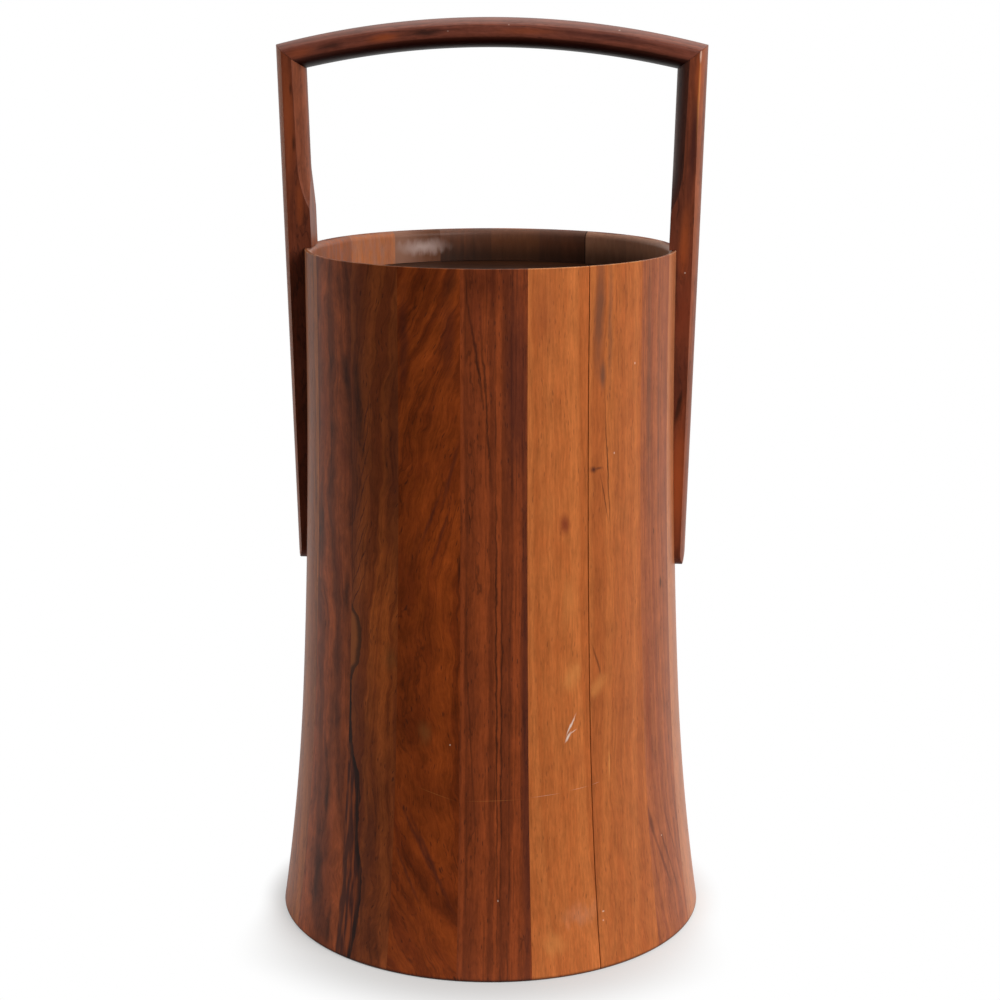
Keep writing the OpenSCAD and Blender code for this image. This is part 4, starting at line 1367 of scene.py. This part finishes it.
def rim_shade_and_grime(tree, plank, colour):
    """A dark line of painted shade with some grime round the edge of the lid."""
    _, across, along = split(tree, plank)
    reach = (across * across + along * along).math("SQRT")
    upward = split(tree, looking(tree))[2].ramp(0.3, 0.8)
    return mix(tree, reach.ramp(*SHADE_AND_GRIME_RING) * upward * 0.9, colour, INK)


lid_pieces = []
for row, place in enumerate(ROWS):
    wood = wood_finish(f"lid_wood_{place}", ALONG_X, LID_TONES, patina_and_light=rim_shade_and_grime, gloss=LID_GLOSS,
                       seed=61.3 + 4.7 * row, pith_depth=-260 - 30 * row, pith_across=25 - 30 * row,
                       band_width=5, wander=4, streaks=0.6, pores=0.7)
    lid_pieces.append(make_board(
        f"lid_board_{place}", f"lid_plank_{place}", "lid", "lid_wood", wood, LID_ARRIS))
grip_wood = wood_finish("grip_wood", ALONG_Y, LID_TONES, gloss=LID_GLOSS, seed=83.9, pith_across=-290,
                        pith_depth=15, band_width=4, wander=3, streaks=0.7, pores=0.7)
lid_pieces.append(make_board("lid_grip", "grip_bar", "lid", "lid_wood", grip_wood, GRIP_ARRIS))
print("lid:", [len(piece.data.polygons) for piece in lid_pieces], "faces")

# %% [markdown]
# The bottom sits in the groove of the staves by a tongue round its edge. Its boards are made as those
# of the lid are. Only the underside shows, and nobody oiled it, so its sheen is duller than that of
# the body.

# %% Bottom boards
BOTTOM_ARRIS = 0.3
bottom_pieces = []
for row, place in enumerate(ROWS):
    wood = wood_finish(f"bottom_wood_{place}", ALONG_X, CHESTNUT, seed=91.7 + 3.1 * row, pith_depth=-70,
                       pith_across=40 - 35 * row, band_width=6, wander=4, streaks=0.5, pores=0.7,
                       sheen=0.55)
    bottom_pieces.append(make_board(
        f"bottom_board_{place}", f"floor_plank_{place}", "bucket", "bottom_wood", wood, BOTTOM_ARRIS))
print("bottom:", [len(piece.data.polygons) for piece in bottom_pieces], "faces")

# %% [markdown]
# The tub inside is moulded plastic. Such a part is never one flat colour: the melt leaves faint
# clouds, the mould a fine texture, and years of ice tongs leave thin scuffs. Its solid has the right
# shape, so it only gets a finish. The dowels get theirs in the same way.

# %% Tub and dowels
TUB_TONES = ((0.80, 0.75, 0.63), (0.70, 0.64, 0.52))
SCUFF_TONE = (0.56, 0.50, 0.40)
TUB_GRAIN = 0.05 * MM
BEECH = ((0.62, 0.42, 0.24), (0.54, 0.34, 0.18), (0.36, 0.20, 0.10))
DOWELS = (("bottom", ALONG_Y, 7.1), ("lid", ALONG_Y, 8.3), ("mitre", ALONG_X, 9.7))


def tub_finish():
    """Moulded plastic with faint clouds, a fine texture and upright scuffs."""
    material, tree, shader = new_finish("moulded_tub")
    x, y, z = split(tree, in_millimetres(tree))
    cloud = noise(tree, vector(tree, x / 40, y / 40, z / 60), 3.0)
    texture = noise(tree, vector(tree, x * 1.6, y * 1.6, z * 1.6), 2.0)
    scuff = noise(tree, vector(tree, x / 1.2, y / 1.2, z / 45), 3.0).ramp(0.62, 0.72)
    clean = mix(tree, cloud.ramp(0.3, 0.7), *TUB_TONES)
    feed(tree, shader.inputs["Base Color"], mix(tree, scuff * 0.35, clean, SCUFF_TONE))
    feed(tree, shader.inputs["Roughness"], texture * 0.12 + scuff * 0.25 + 0.24)
    bump = add(tree, "ShaderNodeBump", Strength=0.2, Distance=TUB_GRAIN, Height=texture - scuff)
    feed(tree, shader.inputs["Normal"], bump.outputs[0])
    return material


def dress(node, finish):
    """Gives a frame node that stays a finish of its own."""
    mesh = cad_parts[node].data
    for place in range(len(mesh.materials)):
        mesh.materials[place] = finish


dress("liner", tub_finish())
for place, turn, seed in DOWELS:
    wood = wood_finish(f"{place}_dowel_wood", turn, BEECH, seed=seed, band_width=3, sheen=0.6)
    dress(f"{place}_dowels", wood)
print("dressed: the tub and", len(DOWELS), "sets of dowels")

# %% [markdown]
# Four brass wood screws hold the arms, driven from inside the body. A screw repeats, so Geometry Nodes
# make it once: a cone with a slot cut in it for the head, a cylinder and a second cone for the core,
# and a spiral for the thread. A copy goes on each point.

# %% Screw tree
THREAD_TURNS = 7.0
TIP_RADIUS = 0.1 * MM
SCREWS, screw_in, screw_out = new_group("wood_screws", "GeometryNodeTree", {
    "Places": ("Geometry", None),
    "Head Radius": ("Float", 0.004),
    "Head Depth": ("Float", 0.0024),
    "Root Radius": ("Float", 0.0015),
    "Thread Size": ("Float", 0.0004),
    "Length": ("Float", 0.016),
    "Point": ("Float", 0.003),
    "Slot": ("Vector", None),
    "Finish": ("Material", None),
}, {"Geometry": "Geometry"})


def build_screws(tree, source, sink):
    """One screw along Z, and a copy of it on each point, turned along way and drawn out by stretch."""
    value = reader(tree, source)

    def lifted(made, z):
        return add(tree, "GeometryNodeTransform", Geometry=made.outputs[0],
                   Translation=vector(tree, 0, 0, z))

    shank = value("Length") - value("Head Depth") - value("Point")
    head = add(tree, "GeometryNodeMeshCone", Vertices=40, Radius_Bottom=value("Head Radius"),
               Radius_Top=value("Root Radius"), Depth=value("Head Depth"))
    slot = add(tree, "GeometryNodeMeshCube", Size=source.outputs["Slot"])
    cut = add(tree, "GeometryNodeMeshBoolean", {"operation": "DIFFERENCE"}, Mesh_1=head.outputs[0],
              Mesh_2=slot.outputs[0])
    core = add(tree, "GeometryNodeMeshCylinder", Vertices=24, Radius=value("Root Radius"), Depth=shank)
    tip = add(tree, "GeometryNodeMeshCone", Vertices=24, Radius_Bottom=value("Root Radius"),
              Radius_Top=TIP_RADIUS, Depth=value("Point"))
    spiral = add(tree, "GeometryNodeCurveSpiral", Resolution=20, Rotations=THREAD_TURNS, Height=shank,
                 Start_Radius=value("Root Radius"), End_Radius=value("Root Radius"))
    edge = add(tree, "GeometryNodeCurvePrimitiveCircle", Resolution=4, Radius=value("Thread Size"))
    thread = add(tree, "GeometryNodeCurveToMesh", Curve=spiral.outputs[0],
                 Profile_Curve=edge.outputs[0], Fill_Caps=True)
    whole = tree.nodes.new("GeometryNodeJoinGeometry")
    for made in (cut, lifted(core, value("Head Depth") + shank * 0.5),
                 lifted(tip, value("Head Depth") + shank), lifted(thread, value("Head Depth"))):
        feed(tree, whole.inputs[0], made.outputs[0])
    way = add(tree, "GeometryNodeInputNamedAttribute", {"data_type": "FLOAT_VECTOR"}, Name="way")
    stretch = add(tree, "GeometryNodeInputNamedAttribute", {"data_type": "FLOAT"}, Name="stretch")
    aim = add(tree, "FunctionNodeAlignRotationToVector", {"axis": "Z"}, Vector=way.outputs[0])
    copies = add(tree, "GeometryNodeInstanceOnPoints", Points=source.outputs["Places"],
                 Instance=whole.outputs[0], Rotation=aim.outputs[0],
                 Scale=vector(tree, 1, 1, Signal(tree, stretch.outputs[0])))
    real = add(tree, "GeometryNodeRealizeInstances", Geometry=copies.outputs[0])
    dressed = add(tree, "GeometryNodeSetMaterial", Geometry=real.outputs[0],
                  Material=source.outputs["Finish"])
    feed(tree, sink.inputs["Geometry"], dressed.outputs[0])


build_screws(SCREWS, screw_in, screw_out)
print("screw tree:", len(SCREWS.nodes), "nodes")

# %% [markdown]
# Two screws go into each arm, one above the other. Each starts on the inside of the body and stops
# short of the outer face of the arm, so the upper ones, where the arm is thicker, are longer. The
# points carry the way and the length of their screw as attributes.

# %% Screws
SCREW_LENGTH = 16.6
SCREW_COVER = 4
SCREW_DROPS = (15, 70)
SCREW_PLACES = [
    (body_radius(z) - WALL, z, arm_outside(z, 0) - SCREW_COVER - body_radius(z) + WALL)
    for z in (LEDGE - fall for fall in SCREW_DROPS)]
BRASS_TONES = ((0.72, 0.52, 0.22), (0.46, 0.29, 0.11))


def brass_finish():
    """Brass with tarnish in patches and the fine rings of the lathe."""
    material, tree, shader = new_finish("turned_brass")
    shader.inputs["Metallic"].default_value = 1.0
    x, y, z = split(tree, in_millimetres(tree))
    tarnish = noise(tree, vector(tree, x / 2, y / 2, z / 2), 3.0).ramp(0.4, 0.7)
    turning = noise(tree, x * 9, 2.0)
    feed(tree, shader.inputs["Base Color"], mix(tree, tarnish, *BRASS_TONES))
    feed(tree, shader.inputs["Roughness"], tarnish * 0.25 + turning * 0.15 + 0.18)
    return material


screw_rows = [(side, *row) for row in SCREW_PLACES for side in (1, -1)]
screws = mesh_object("arm_screw_set", [(side * x, 0, z) for side, x, z, _ in screw_rows])
screws.data.attributes.new("way", "FLOAT_VECTOR", "POINT")
screws.data.attributes.new("stretch", "FLOAT", "POINT")
for number, (side, _, _, length) in enumerate(screw_rows):
    screws.data.attributes["way"].data[number].vector = (side, 0, 0)
    screws.data.attributes["stretch"].data[number].value = length / SCREW_LENGTH
run_tree(screws, SCREWS, Head_Radius=4 * MM, Head_Depth=2.4 * MM, Root_Radius=1.55 * MM,
         Thread_Size=0.42 * MM, Length=SCREW_LENGTH * MM, Point=3 * MM,
         Slot=(10 * MM, 1 * MM, 2.2 * MM), Finish=brass_finish())
settle(screws)
hand_over(screws, "bucket", "screw_brass", "arm_screws")
print("screws:", len(screws.data.polygons), "faces")
